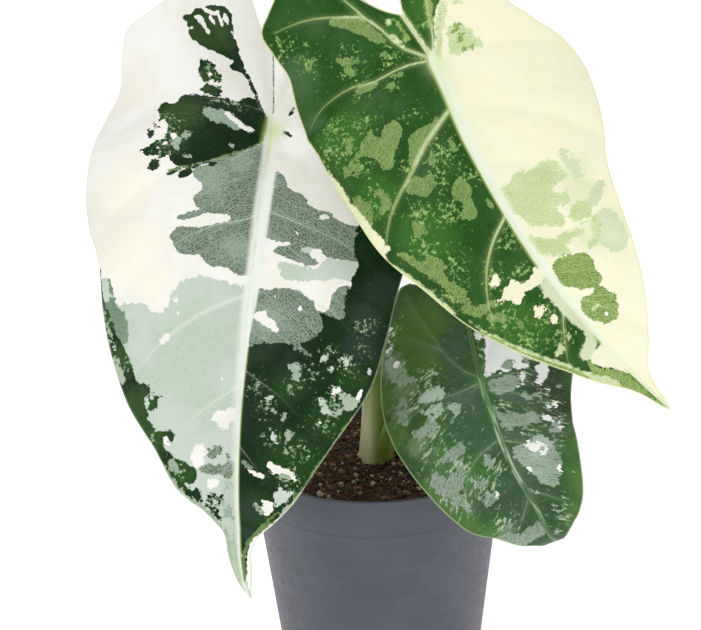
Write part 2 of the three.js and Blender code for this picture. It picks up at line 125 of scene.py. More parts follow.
# how strongly the slow, the middle and the cell-wide noise shift a tissue's edge, how deep a lacy
# marking goes, how far round an edge its own fraying counts, and the weight of plain fraying there
FRAY = {"wobble": 1.2, "wander": 8.0, "areole": 1.5, "lace_depth": 2.4, "reach": 1.5, "plain": 0.4}

STALK = Sizes(
    girth=24,  # the millimetres of its streaks' pattern that go round it
    sheath_reach=0.18,
    sheath_share=0.65,
    flare=0.16,
    flare_length=7,
    below_pad=2.2,
    groove=0.16,
    groove_width=0.25,
    ridges=11,
    ridge=0.004,
    ridge_twist=0.02,
    ridges_start=4,
    sides=40,
    step=1.5,
)
# the sheath that wraps the feet of the stalks: centre, half width and half depth at each height
SHEATH = [
    (94, (0, -1), 8.6, 8.4),
    (104, (0, -1), 8.2, 8.2),
    (120, (0.2, 0), 6.6, 6.4),
    (138, (0.4, 2), 4.6, 4.2),
    (150, (-0.8, 3.4), 2.6, 2.4),
    (157, (-1.6, 4.4), 0.9, 0.8),
]
SHEATH_GIRTH = 48

CAMERA = Sizes(place=(-10.2, -1125.757, 590.137), down=20.26, roll=-1.79, lens=134.41, sensor=36)

LEFT = {
    "spine": [(-41, 2, 300), (-42, -20, 272), (-48, -50, 240), (-55, -80, 194), (-59, -98, 156),
              (-60, -108, 122), (-57, -112, 87)],
    "facing": [(0, (0, -0.94, 0.34)), (213, (0, -1, 0.1))],
    "fold": (0.18, 0.18),
    "curl": (0.3, 0.3),
    "half_width": 70,
    "wave": (1.6, 62, (0.4, 2.2)),
    "outlines": [
        [(-24, -76), (-29, -75), (-37, -68), (-46, -60), (-57, -53), (-65, -47), (-67, -36), (-68, -21),
         (-73, -9), (-77, 10), (-78, 30), (-74, 53), (-66, 74), (-63, 90), (-56, 113), (-48, 130),
         (-37, 145), (-26, 163), (-12, 175), (-7.5, 181), (-6.5, 192), (-3.5, 206), (0, 213)],
        [(24, -74), (29, -73), (36, -66), (44, -54), (51, -42), (55, -28), (60, -8), (65, 20), (67, 45),
         (63, 70), (60, 92), (54, 118), (45, 135), (33, 154), (22, 171), (14, 179), (7, 185), (3.5, 191),
         (2, 201), (0, 213)],
    ],
    "sinuses": [
        [(-24, -76), (-19, -75), (-12, -66), (-8, -55), (-4, -43), (0, -36)],
        [(24, -74), (19, -73), (13, -65), (8, -54), (4, -43), (0, -36)],
    ],
    "veins": [
        (0.4, [(0, 7), (-12, 15.5), (-23, 21.7), (-32, 26.3), (-41, 31), (-56, 42), (-69, 58)]),
        (0.5, [(0, 42), (-5, 46), (-17, 50.5), (-27, 56), (-42, 68), (-60, 90)]),
        (2.0, [(0, 79), (-12, 85), (-20, 90), (-29, 97), (-36, 104), (-49, 120)]),
        (0.5, [(0, 118), (-18, 132), (-33, 148)]),
        (0.4, [(0, 148), (-10, 160), (-16, 170)]),
        (0.5, [(0, -4), (-4, -6), (-8, -14), (-11, -21), (-16, -29), (-25, -42), (-34, -62)]),
        (0.5, [(0, -6), (-30, -12), (-54, -8), (-68, 8)]),
        (0.5, [(0, 10), (26, 22), (50, 34), (64, 50)]),
        (0.6, [(0, 40), (7, 42.5), (18, 46.5), (31, 51), (42, 56), (60, 70)]),
        (0.9, [(0, 72), (9, 73), (17, 75), (25, 78), (32, 81.5), (39, 87), (46, 94), (56, 107)]),
        (0.6, [(0, 112), (20, 126), (36, 146)]),
        (0.4, [(0, 145), (10, 158), (18, 170)]),
        (0.5, [(0, -4), (10, -24), (22, -48), (32, -64)]),
        (0.5, [(0, -6), (28, -10), (46, -6), (58, 10)]),
    ],
    # the midrib at each v: its left edge and how soft that is, then the same for the right
    "midrib": [
        (-12, 0, 1, 0, 1), (-4, -1.5, 1, 2, 1.5), (8, -3, 1.1, 4, 1.8), (30, -3, 1.4, 4.2, 0.9),
        (70, -3, 1.4, 4, 0.8), (85, -3.4, 1.6, 2.6, 0.6), (100, -3.3, 2.2, 0.9, 0.4),
        (125, -2.9, 2.2, 0.1, 0.35), (150, -2.4, 1.5, -0.3, 0.35), (180, -1.9, 1, -0.5, 0.35),
        (195, -2.8, 0.8, -1.7, 0.4), (204, -2.6, 0.8, -1.9, 0.4), (213, -0.9, 0.6, 0, 0.4),
    ],
    "slit": 0.3,
    "slit_end": 6,
    "junction": (4.5, 0.1),
    "puff": 0.5,
    "petiole": {
        "path": [(-5, -1, 91), (-5, -1, 99), (-3.5, -0.5, 118), (-2.6, 1, 135), (-6, 5, 165), (-18, 10, 205),
                 (-33, 8, 240), (-41, -5, 262), (-42.5, -26, 277)],
        "radii": (4.2, 2.6),
    },
}

RIGHT = {
    "spine": [(15, -52, 328), (28, -62, 309), (41, -78, 279), (59, -90, 247), (83, -97, 212),
              (105, -98, 184), (125, -96, 162)],
    "facing": [(0, (-0.1, -0.94, 0.34)), (184, (0, -1, 0.1))],
    "fold": (0.22, 0.15),
    "curl": (0.42, 0.35),
    "half_width": 62,
    "wave": (1.5, 55, (1.2, 3.0)),
    "outlines": [
        [(-27, -68), (-32, -67), (-40, -61), (-47, -57), (-54, -53), (-55, -42), (-55, -30), (-60, -19),
         (-63, -5), (-61, 20), (-57.5, 40), (-55, 59), (-47, 80), (-41, 98), (-32, 116), (-21, 136),
         (-12, 152), (-6, 162), (-3, 171), (-1.5, 179), (0, 184)],
        [(20, -66), (25, -65), (32, -57), (37, -44), (37.5, -30), (36.5, -16), (39.5, -5), (46, 3.5),
         (53, 11), (56.5, 20), (57, 36), (53, 58), (46, 75), (42, 90), (36, 112), (28, 131), (15, 151),
         (6, 162), (3, 170), (1.5, 178), (0, 184)],
    ],
    "sinuses": [
        [(-27, -68), (-22, -66.5), (-16.5, -55), (-10, -38), (-4.5, -29), (0, -24.5)],
        [(20, -66), (15, -64), (9, -53), (4, -36), (1.5, -28), (0, -24.5)],
    ],
    "veins": [
        (1.3, [(0, -2), (-4, -7), (-8, -13), (-10.5, -23), (-14, -32), (-21, -37), (-35, -45), (-49, -49)]),
        (0.7, [(-10.5, -23), (-13.5, -31), (-16, -40), (-20, -52), (-26, -62)]),
        (0.9, [(0, -1), (-7.5, -4), (-14, -5.5), (-27, -7), (-34, -10.5), (-46, -12), (-53, -11.5),
               (-59, -8)]),
        (1.9, [(0, 20), (-3.5, 22), (-10, 26.5), (-18.5, 32), (-28, 38.5), (-37, 44), (-45, 50), (-51, 57)]),
        (1.1, [(0, 70), (-3, 72), (-9, 75.5), (-15, 80), (-20.5, 85.5), (-27, 95), (-32, 106)]),
        (0.5, [(0, 112), (-8, 122), (-18, 138)]),
        (0.8, [(0, -2), (5, -9), (10, -20), (20, -38), (24, -52)]),
        (0.5, [(0, 0), (14, 2), (22, 4), (36, 7.5), (50, 11)]),
        (0.5, [(0, 20), (12, 26.5), (22.5, 33), (32, 40.5), (38, 46), (48, 62)]),
        (0.5, [(0, 48), (20, 60), (36, 78)]),
        (0.6, [(0, 78), (18, 92), (30, 109)]),
        (0.5, [(0, 112), (9, 126), (17, 144)]),
    ],
    "midrib": [
        (-6, 0, 0.8, 0, 1), (0, -2.2, 0.8, 2.2, 1.6), (8, -2.2, 0.7, 3.2, 2), (30, -1.8, 0.6, 3.2, 1.8),
        (50, -1.6, 0.5, 2.8, 1.8), (70, -1.8, 0.5, 2.4, 1.5), (95, -2.2, 0.6, 1.6, 1.2),
        (125, -1.4, 0.9, 1.2, 0.9), (150, -0.7, 0.6, 0.5, 0.6), (184, -0.2, 0.4, 0.2, 0.4),
    ],
    "slit": -0.2,
    "slit_end": 4,
    "junction": (5.0, 0.3),
    "puff": 0.9,
    "petiole": {
        "path": [(4.6, 3.4, 91), (4.6, 3.4, 99), (4.2, 3.4, 118), (4.4, 4, 135), (5.5, 5, 160), (9, 6, 190),
                 (15, 3, 225), (25, -6, 255), (30, -24, 282), (29, -50, 303), (28, -68, 312)],
        "radii": (4.4, 2.5),
    },
}

LOW = {
    "spine": [(43, -22, 174), (47, -40, 157), (51, -56, 145.5), (57.5, -72, 131), (69.5, -86, 112.5),
              (74, -89, 103), (77, -85, 97.5), (78, -74, 97.7), (79, -67.5, 99.5)],
    "facing": [(0, (0.1, -0.94, 0.5)), (70, (0.1, -0.92, 0.23)), (103, (0.1, -0.3, -1))],
    "fold": (0.15, 0.15),
    "curl": (0.3, 0.3),
    "half_width": 45,
    "wave": (0.9, 44, (0, 1.6)),
    "outlines": [
        [(-22, -52), (-26, -51), (-30, -45), (-36, -31), (-43, -11), (-46, 9), (-43, 29), (-37, 47),
         (-30, 63), (-23, 71), (-16, 77), (-8, 83), (-5, 89), (-3, 96), (0, 103)],
        [(17, -51), (21, -50), (29, -43), (37, -32), (43, -17), (43.5, -3), (39, 12), (33, 36), (30.5, 50),
         (25, 63), (21.7, 68.8), (17.6, 73.8), (13, 79.3), (7, 84), (3.6, 87.5), (2.4, 92), (1.2, 98),
         (0, 103)],
    ],
    "sinuses": [
        [(-22, -52), (-18, -50), (-10, -41), (-4, -35), (0, -31)],
        [(17, -51), (13, -50), (7, -42), (3, -35), (0, -31)],
    ],
    "veins": [
        (0.6, [(0, 1), (-11, 5), (-20, 7), (-27, 8.5), (-36, 12), (-42, 22)]),
        (0.7, [(0, 31), (-4, 33), (-11, 36), (-18, 40.5), (-27, 52), (-31, 60)]),
        (0.4, [(0, 60), (-8, 68), (-16, 78)]),
        (0.5, [(0, -1), (-9, -8), (-13, -14), (-16, -22), (-20, -32), (-24, -46)]),
        (0.4, [(-14, -16), (-24, -23), (-30, -26), (-36, -26)]),
        (0.5, [(0, 5), (10, 9), (18, 15), (26, 22), (33, 34)]),
        (0.6, [(0, 32), (9, 37.5), (17.5, 43), (22, 50), (25.5, 57)]),
        (0.4, [(0, 58), (8, 66), (17, 76)]),
        (0.4, [(0, -2), (10, -18), (18, -34), (20, -46)]),
        (0.5, [(0, -1), (11, 0), (22, 2), (36, 10)]),
    ],
    "midrib": [
        (-5, 0, 1, 0, 1), (0, -0.9, 0.7, 0.9, 0.7), (20, -1.3, 0.6, 1.2, 0.6), (45, -1.1, 0.5, 1, 0.5),
        (62, -1.3, 0.5, 0.3, 0.5), (80, -1.2, 0.5, 0, 0.5), (103, -0.4, 0.4, 0.4, 0.4),
    ],
    "slit": 0.0,
    "slit_end": 1,
    "junction": (3.5, 0.6),
    "puff": 0.6,
    "level_from": 56,  # the fold and the channel fade out from here towards the curled tip
    "petiole": {
        "path": [(1.9, -5.6, 91), (1.9, -5.6, 99), (4, -7.5, 116), (11, -10, 132), (24, -15, 143),
                 (38, -25, 150.5), (50, -46, 160)],
        "radii": (4.2, 1.9),
    },
}

# ---- markings

# Each marking is laid over the ones before it: the tissue, how far its edge frays in millimetres, and
# its outline, or for a round fleck its centre and radius.

LEFT["ground"] = "cream"
LEFT["markings"] = [
    # the dark fan on the left back lobe, split by cream, and the streak that runs down its rib
    ("dark", 0.3, (-40.5, -50), (-38, -51.7), (-35.5, -51), (-35, -54), (-33.5, -55), (-31.5, -54.7),
        (-29, -56), (-26.5, -56.3), (-24.5, -55.3), (-21.5, -55.3), (-19.5, -54), (-18, -51), (-17.5, -43.5),
        (-15.7, -38.5), (-14.7, -35), (-14.7, -29.5), (-18.5, -30.4), (-22, -32), (-28, -34.7), (-33, -37.3),
        (-36, -39.5), (-37.6, -42), (-37, -45), (-38, -48)),
    ("cream", 0.4, (-35, -51), (-32, -51.8), (-30.5, -49), (-29.3, -45.5), (-27.3, -42.5), (-28, -41.5),
        (-30, -44), (-32, -46.8), (-34.5, -49)),
    ("cream", 0.3, (-31.5, -55.5), (-29.5, -54.7), (-24.5, -51.7), (-25.5, -51), (-28.5, -52.2),
        (-30.5, -53)),
    ("cream", 0.3, (-29, -51), (-26.8, -51), (-24.2, -45.2), (-25.4, -45.4)),
    ("cream", 0.3, (-22.4, -52), (-20.6, -51.8), (-19, -47.3), (-20, -46.2), (-21.4, -48)),
    ("cream", 0.3, (-25.3, -53), (-24, -53.4), (-22.4, -48.5), (-21.4, -44.6), (-22.8, -45.4), (-24.2, -50)),
    ("cream", 0.2, (-19.5, -44.7), (-18, -43.9), (-15.4, -38.7), (-16.6, -40)),
    ("dark", 0.3, (-19.7, -28.3), (-17.5, -28.5), (-16.5, -33), (-14.3, -33), (-12.6, -27.5), (-9.5, -21.5),
        (-7, -15), (-4.8, -8), (-7.8, -14), (-10.5, -19.7), (-13.5, -24.7), (-16.5, -25), (-18, -26)),
    ("cream", 0.8, (-33.5, -53, 0.6)),
    ("cream", 0.9, (-36, -44.5, 0.5)),
    ("dark", 1.0, (-32.5, -29), (-30, -30.7), (-25, -27.5), (-24, -24), (-21, -21), (-23, -19.3),
        (-28, -20.5), (-30, -19), (-32.5, -24)),
    ("dark", 1.1, (-32.5, -17), (-29, -19.5), (-26, -18), (-22.5, -17), (-22, -13), (-28, -13), (-31, -15)),
    ("cream", 1.2, (-27.5, -23.3, 0.8)),
    # the big dark patch beside the petiole
    ("dark", 0.5, (-2, 5), (-2, -3), (-5, -9), (-8, -12), (-11, -13), (-15, -10.5), (-20, -12), (-26, -13),
        (-34, -13.5), (-40, -14), (-41.5, -10), (-45, -8.5), (-46, -11), (-49.5, -10), (-50.5, -3),
        (-48.5, -1), (-51, 5), (-48, 8), (-46, 8), (-46.5, 13), (-44.5, 20), (-42, 22), (-41, 26), (-38, 28),
        (-33, 28), (-25, 24), (-15, 18), (-6, 11.5)),
    ("dark", 1.9, (-55.5, 19), (-52, 20.5), (-50, 16), (-46.5, 14), (-43, 17), (-42, 22), (-46, 24.5),
        (-50, 23), (-53.5, 24)),
    ("cream", 0.8, (-49, 19), (-47, 17.5), (-46.5, 19), (-48, 20.5)),
    ("cream", 0.8, (-52, 21.7, 0.7)),
    ("dark", 0.9, (-54, 8.5), (-51.5, 8), (-50.5, 13.5), (-52, 15), (-53.7, 12)),
    ("dark", 1.4, (-52.5, 4.5), (-50, 3), (-48.5, 7.5), (-50.5, 8.5)),
    ("cream", 1.7, (-49, 2.5), (-47, 1), (-45.5, 5), (-45, 11), (-46.5, 14), (-48.3, 8)),
    ("dark", 1.1, (-53, 26), (-50, 26.5), (-47.5, 24.5), (-46, 27), (-47, 30), (-50, 30.5)),
    ("dark", 0.3, (-43, 32), (-41, 30), (-38, 28.5), (-38, 30), (-40, 31.5)),
    ("cream", 0.9, (-45, 10), (-43, 10.8), (-40, 11), (-41, 14.5), (-44, 14)),
    ("cream", 0.7, (-48.5, 3.5, 0.7)),
    ("cream", 0.9, (-45.7, 17.5, 0.8)),
    ("mint", 1.2, (-41, 12), (-38, 9), (-35, 9.5), (-34.5, 12), (-38, 13.5), (-39, 17), (-40, 20),
        (-42, 18)),
    ("mint", 1.0, (-37, 22), (-36, 20.5), (-33, 20.8), (-33, 22.5), (-35, 23.2)),
    ("mint", 0.7, (-30.5, -4), (-30, -7), (-25, -6), (-21, -6), (-16, -2), (-11, 3), (-8, 3), (-8, 5),
        (-16, 5), (-20, 3), (-26, 2.3), (-30, -1)),
    ("cream", 0.3, (-21, -5), (-19, -5), (-15, -0.5), (-12, 2), (-8, 3), (-7.5, 5), (-12, 5), (-16, 2),
        (-21, -3)),
    ("mint", 0.8, (-16.5, 13.4, 0.7)),
    # slate beside the midrib, split by a finger of cream
    ("slate", 0.4, (0, 7), (-6, 11), (-15, 17.8), (-25, 23.8), (-31, 27.5), (-31, 32.5), (-26, 34.5),
        (-26, 37), (-29.5, 41), (-28, 44), (-25, 45.5), (-32, 48), (-36, 50), (-34, 51.5), (-28, 49.5),
        (-22, 46.2), (-12, 45.5), (-13, 49), (-22, 52), (-28, 53.5), (-34, 54), (-37.5, 58), (-35, 63),
        (-33, 65.5), (-28, 66.5), (-23, 65), (-22, 67.5), (-19.5, 70), (-12, 69), (-7, 72), (0, 71)),
    ("leek", 0.2, (-2, 6.6), (-12, 14.5), (-23, 21), (-32, 25.6), (-42, 29.8), (-42, 30.7), (-32, 26.7),
        (-23, 22.1), (-12, 15.6), (-2, 7.7)),
    ("dark", 0.3, (-38, 32), (-37, 29), (-33, 27.5), (-31, 29.5), (-33, 32), (-36, 33)),
    ("dark", 0.4, (-26, 24), (-21, 21), (-22, 25), (-25, 26)),
    # the sage field over most of the left half
    ("sage", 0.8, (0, 74), (-4, 76), (-10, 76), (-15, 75), (-21, 74), (-28, 77), (-31.5, 79), (-34, 84),
        (-35, 90), (-40, 92.5), (-43, 90), (-47, 88), (-51, 89), (-54, 87.5), (-57, 90), (-60, 81),
        (-63, 77), (-68, 84), (-66, 110), (-50, 140), (-34, 165), (-14, 182), (-6, 214), (0, 214)),
    ("cream", 0.5, (-37, 103), (-35, 99.5), (-32, 99.5), (-33, 103), (-36, 105)),
    ("cream", 0.3, (-31.5, 86, 1)),
    ("cream", 0.3, (-30, 91, 0.8)),
    ("cream", 0.3, (-9, 117, 0.8)),
    ("cream", 0.6, (-13, 135), (-11, 131), (-6, 130), (0, 127), (0, 136), (-4, 134), (-5, 138), (-8, 138.5),
        (-9, 135)),
    ("cream", 0.5, (-20, 147), (-18, 144), (-15, 144), (-14, 148), (-16, 154), (-19, 154), (-21, 151)),
    ("cream", 0.7, (-15, 159), (-9, 158), (-8, 162), (-13, 163.5)),
    ("slate", 1.5, (-15, 149), (-12, 146), (-8, 145), (-7, 147), (-10, 150)),
    ("slate", 1.4, (-6.5, 149), (-4, 147), (-2.5, 149), (-4.5, 150.5)),
    ("slate", 0.8, (-17, 155), (-15, 152), (-8, 153), (-5, 151), (-2, 151), (-2, 157), (-4, 159.5),
        (-8, 157), (-14, 157)),
    ("mint", 1.2, (-8, 161), (-3, 160), (-3, 163), (-6, 163.5)),
    ("mint", 1.2, (-9, 171), (-6, 169), (-3, 170), (-3, 178), (-6, 175)),
    # the strip along the left margin: jade, dark, and paler bands outside
    ("jade", 0.5, (-63.5, 78), (-60, 80), (-58, 87), (-55, 91), (-53, 92), (-51, 97), (-50, 103), (-52, 107),
        (-56, 104), (-61, 95), (-64, 88)),
    ("sage", 0.4, (-64, 77), (-60.5, 80), (-60.5, 85), (-61, 90), (-63.5, 88)),
    ("dark", 0.4, (-66, 73), (-64.5, 78), (-63, 87), (-59, 94), (-55, 102), (-51, 108), (-48.5, 113),
        (-46, 119.5), (-43, 123), (-40, 130), (-38, 136), (-35, 141), (-31, 147), (-28, 150), (-22, 152),
        (-17, 155), (-18, 159), (-21, 161), (-28, 158), (-34, 152), (-42, 150), (-56, 130), (-66, 100),
        (-70, 78)),
    ("dark", 1.6, (-45, 122), (-42, 121.5), (-37.5, 124), (-40, 127), (-44, 127)),
    ("dark", 1.8, (-40, 132), (-39, 127), (-35, 125), (-35, 129), (-38, 132)),
    ("dark", 1.5, (-37, 142), (-34, 139), (-29, 138), (-27.5, 142), (-31, 146)),
    ("cream", 0.6, (-32.5, 142), (-30.5, 142), (-30.5, 144.5), (-32, 145)),
    # painted shade: this haze band is the grey of the outer margin where it curls away
    ("haze", 0.7, (-64.5, 88), (-62.5, 92), (-59.5, 97.5), (-56.5, 104.5), (-53.7, 110.5), (-52, 116),
        (-49.7, 122.5), (-52, 122), (-55, 117), (-60, 110), (-64, 100)),
    ("dark", 0.6, (-62, 97), (-60.6, 98), (-56.5, 107.5), (-54, 114), (-55.5, 113), (-59, 105)),
    ("haze", 0.5, (-40, 143), (-36, 147.5), (-32, 153), (-28, 158), (-24, 162), (-17, 168), (-11.5, 173),
        (-7, 180), (-9, 184), (-20, 178), (-34, 162), (-44, 148)),
    ("sage", 0.3, (-39, 145), (-34, 153), (-26, 163), (-16, 171), (-9, 178), (-9, 184), (-20, 178),
        (-34, 162), (-44, 148)),
    ("haze", 0.9, (-30, 151), (-27.5, 150), (-23.5, 158), (-25, 159), (-29, 155)),
    ("dark", 1.4, (-27, 157.5), (-20, 163), (-14, 168), (-13.5, 170.5), (-20, 166), (-27, 160)),
    ("dark", 0.9, (-20, 162.5), (-18, 161.5), (-16.3, 164), (-16.5, 165.5), (-19, 165.5)),
    ("dark", 2.2, (-15, 166), (-12.5, 164.5), (-10, 166), (-6.3, 165.5), (-8, 168.5), (-13, 169)),
    ("dark", 1.6, (-14, 168.5), (-10.5, 169.5), (-8.6, 174), (-9.5, 176), (-13, 172)),
    ("haze", 0.3, (-7.6, 179), (-5.8, 180), (-4.6, 186), (-4.7, 198), (-3.2, 207), (-4.6, 207), (-6.6, 198),
        (-7.3, 188)),
    ("haze", 0.3, (-3.8, 182), (-3.2, 182), (-3.3, 196), (-3.2, 203), (-4, 196)),
    # right of the midrib: slate, a sage band, then slate again
    ("slate", 0.4, (3, 22), (6, 22.5), (9, 26), (10, 30), (17, 33), (20, 35), (20, 37), (24, 40), (29, 39),
        (33, 43), (37, 45), (46, 45), (45, 54), (47, 61), (36, 61), (29, 60), (28, 57), (22, 59), (28, 64),
        (25, 65.5), (18, 64), (13, 62), (8, 61), (5, 55), (3, 54)),
    ("cream", 0.5, (3, 53.5), (9, 56), (14, 55.5), (15, 57), (8, 58.5), (3, 60)),
    ("cream", 0.5, (24, 42), (28, 40.8), (31, 43), (28, 44)),
    ("sage", 0.6, (26.3, 44.5, 0.9)),
    ("cream", 0.3, (15.5, 50), (16.5, 50), (18, 51.7), (17, 52)),
    ("sage", 0.9, (20, 57.5), (23, 56.5), (25, 58.5), (22, 60), (19, 59)),
    ("sage", 0.5, (10, 64), (15, 64), (20, 66), (27, 66.5), (30, 61), (37, 62), (45, 60.5), (47, 62),
        (46, 66), (45, 71), (36, 69), (30, 71.5), (20, 72.5), (12, 72)),
    ("slate", 0.4, (1, 77), (5, 76), (7, 78), (10, 75.5), (16, 75.5), (21, 76.5), (26, 79.5), (31, 84),
        (32, 86), (34, 92), (33, 97), (26, 101), (12, 102), (1, 105)),
    ("slate", 0.4, (34, 79), (36, 76), (36, 74), (39, 72.5), (44, 72), (43, 77), (43, 86), (39, 90),
        (32, 87), (34, 82)),
    ("cream", 0.8, (2, 87), (6, 86), (8, 89), (12, 91), (14, 95), (10, 95), (6, 91.5), (2, 90.5)),
    ("cream", 0.4, (10.3, 79.8, 0.9)),
    ("sage", 0.5, (12, 77, 0.7)),
    ("cream", 0.5, (20.5, 84.5), (22, 82.5), (23, 85), (21.5, 86)),
    ("cream", 0.6, (27, 80.5), (30, 82), (30.5, 84.3), (28, 84)),
    # the dark right half, out to the margin
    ("dark", 0.4, (0, 103), (7, 100), (20, 100), (26, 98.5), (30, 95), (32.5, 92), (31, 88), (29, 85.5),
        (32, 85), (38, 87.5), (41, 86), (40, 76), (42, 74), (42, 70), (45, 62), (42, 57), (42, 46), (50, 38),
        (72, 46), (74, 90), (64, 122), (44, 152), (28, 172), (12, 183), (5, 192), (2, 196), (-1, 204),
        (-2, 204), (-2, 195), (-1.2, 182), (-1.2, 150), (-0.9, 125)),
    ("mint", 0.9, (18, 108), (22, 108.5), (26, 107), (26.5, 109), (24, 110), (25, 115.5), (22.5, 116),
        (20, 113)),
    ("slate", 0.3, (21, 100), (23, 100), (26, 103), (29, 104.5), (26, 105), (24, 103)),
    ("slate", 0.6, (20.7, 102, 0.8)),
    ("sage", 1.3, (33.5, 105, 1.1)),
    ("sage", 1.5, (40.5, 105), (42, 103), (44, 105), (44.5, 107.5), (42, 106)),
    ("sage", 1.3, (37.5, 109.7, 1.2)),
    ("sage", 0.6, (52.5, 110), (53, 106.5), (54.2, 107), (54, 110)),
    ("sage", 1.5, (32, 123.5), (34, 122), (36, 125), (38.5, 128), (36.5, 129.7), (34, 126.5)),
    ("haze", 1.4, (41, 128, 1.3)),
    ("cream", 1.5, (37, 119), (39, 117), (42, 117), (42, 119), (39.5, 120.5)),
    ("haze", 0.4, (42, 118), (46, 121), (51, 121), (50, 124), (46, 127), (43.5, 126), (42, 122)),
    ("cream", 0.3, (48, 122), (49.3, 118), (51, 116), (51.3, 119), (49.5, 122.5)),
    ("sage", 1.4, (9, 124), (11.5, 122), (13, 123.5), (11.5, 125.3)),
    ("haze", 1.4, (11, 127), (13, 127), (15.3, 130.5), (13, 129.5)),
    ("haze", 1.4, (18.7, 131, 1.2)),
    ("sage", 1.5, (12.5, 139), (14.5, 137.5), (16, 141), (17, 143.5), (14.5, 142.5)),
    ("haze", 1.4, (20.5, 139.5, 1.2)),
    ("haze", 1.4, (20.5, 144.8, 1.3)),
    ("cream", 0.6, (33.7, 133, 0.7)),
    ("slate", 0.7, (1, 150.5), (4, 152.5), (6.5, 155), (3, 155)),
    ("cream", 1.0, (3.5, 154.5), (6, 155.5), (10, 157), (12, 157), (11, 158.5), (7, 158), (4, 156.3)),
    ("cream", 0.8, (11, 153), (14, 151), (20, 154), (23, 154.5), (25, 159), (24, 160.3), (22, 158.5),
        (17, 157.5), (13, 155)),
    ("haze", 1.2, (16.5, 157), (18, 155), (22, 156), (21, 158.3), (17, 158.3)),
    ("sage", 1.2, (15, 164), (18, 162), (20, 164), (24, 163), (23, 166), (20, 168.5), (16, 172), (15, 168)),
    ("haze", 1.0, (6, 170.5), (8.5, 169), (10.5, 172), (10, 174), (7.5, 172.5)),
    ("cream", 1.0, (9.3, 168), (11, 169), (14, 168), (15, 171), (13.7, 174), (11, 176), (10.3, 172.5)),
    ("leek", 0.3, (11, 177), (17, 173), (23, 165.5), (28, 161), (34, 151), (43, 137), (52, 123), (57, 107),
        (60, 108), (54, 127), (43, 146), (32, 163), (22, 174), (12, 183), (6, 186), (2, 189), (0, 196),
        (-1, 204), (-1.9, 203), (-1.6, 194), (1.5, 187), (6, 182)),
    ("dark", 0.3, (12, 177.5), (18, 172), (24, 165.5), (30, 158), (31, 159), (25, 168), (19, 174),
        (13, 178.5)),
    ("haze", 0.6, (17, 174), (26, 165.5), (35, 153), (44, 139), (50, 126), (51, 127.5), (45, 141), (36, 156),
        (27, 168), (18, 176)),
    ("cream", 0.0, (30, 160.5), (34, 160), (26, 172), (14, 183), (8, 190), (4.5, 199), (1.6, 207),
        (-0.6, 206), (0.1, 199), (1.2, 193), (2.7, 188.3), (5, 185), (9, 182), (15, 177.3), (22, 171)),
    ("dark", 0.3, (5.3, -3), (7.5, -6), (9.5, -9), (9.6, -6), (7.5, -3.8)),
    ("dark", 0.3, (5, 2.6), (7.5, 3.2), (10, 5.5), (8, 6.2), (5.5, 4.6)),
]
# where pale specks crowd together in the dark tissue: centre and radius
LEFT["flecked"] = [
    (-16, -9, 6), (-24, -11, 5), (-28, -24, 6), (-46, 0, 6), (-44, 8, 6), (-46, 18, 8), (-40, 2, 5),
    (50, 89, 6), (44, 107, 8), (36, 103, 6), (40, 122, 8), (6, 119, 6), (36, 134, 7), (26, 148, 8),
    (22, 160, 9), (14, 141, 6), (-26, 154, 6), (20, 118, 6), (-38, 143, 5), (-50, 114, 6), (10, 128, 6),
    (30, 112, 6), (-58, 96, 5), (50, 100, 5)
]
# tones that lie softly on a tissue: the tissue, the colour, and a centre and radius for each cloud of it
LEFT["tones"] = [
    ("dark", (54, 81, 38), [(-28, -44, 14), (-40, -2, 12), (-44, 14, 9), (-28, -20, 8)]),
    ("dark", (34, 68, 26), [(24, 150, 16), (38, 132, 12), (8, 172, 10), (46, 112, 8), (20, 118, 8)]),
    # painted sheen: a grey-green tone where the dark right half catches the light near its margin and at the
    # tip
    ("dark", (44, 62, 48), [(50, 86, 9), (56, 72, 9), (48, 98, 8), (4, 173, 6), (2, 183, 4)]),
    ("dark", (50, 84, 36), [(-60, 94, 8), (-52, 112, 8), (-42, 132, 11), (-36, 142, 9), (-24, 156, 8)]),
    ("slate", (128, 146, 128), [(-24, 31, 10), (-12, 20, 7), (-8, 60, 7), (8, 90, 8)]),
    ("slate", (62, 84, 62), [(22, 47, 10), (36, 54, 9), (26, 92, 8), (-24, 60, 8)]),
    ("sage", (172, 192, 156), [(-5, 194, 12)]),
    ("cream", (247, 244, 226), [(-56, 66, 18), (-44, 78, 10), (-60, 40, 14)]),
    # painted light: the cream lifted where the right leaf casts its shadow on the right back lobe and beside
    # the midrib
    ("cream", (255, 255, 250), [(12, -30, 14), (24, -4, 15), (40, 22, 13), (12, 8, 8)]),
]

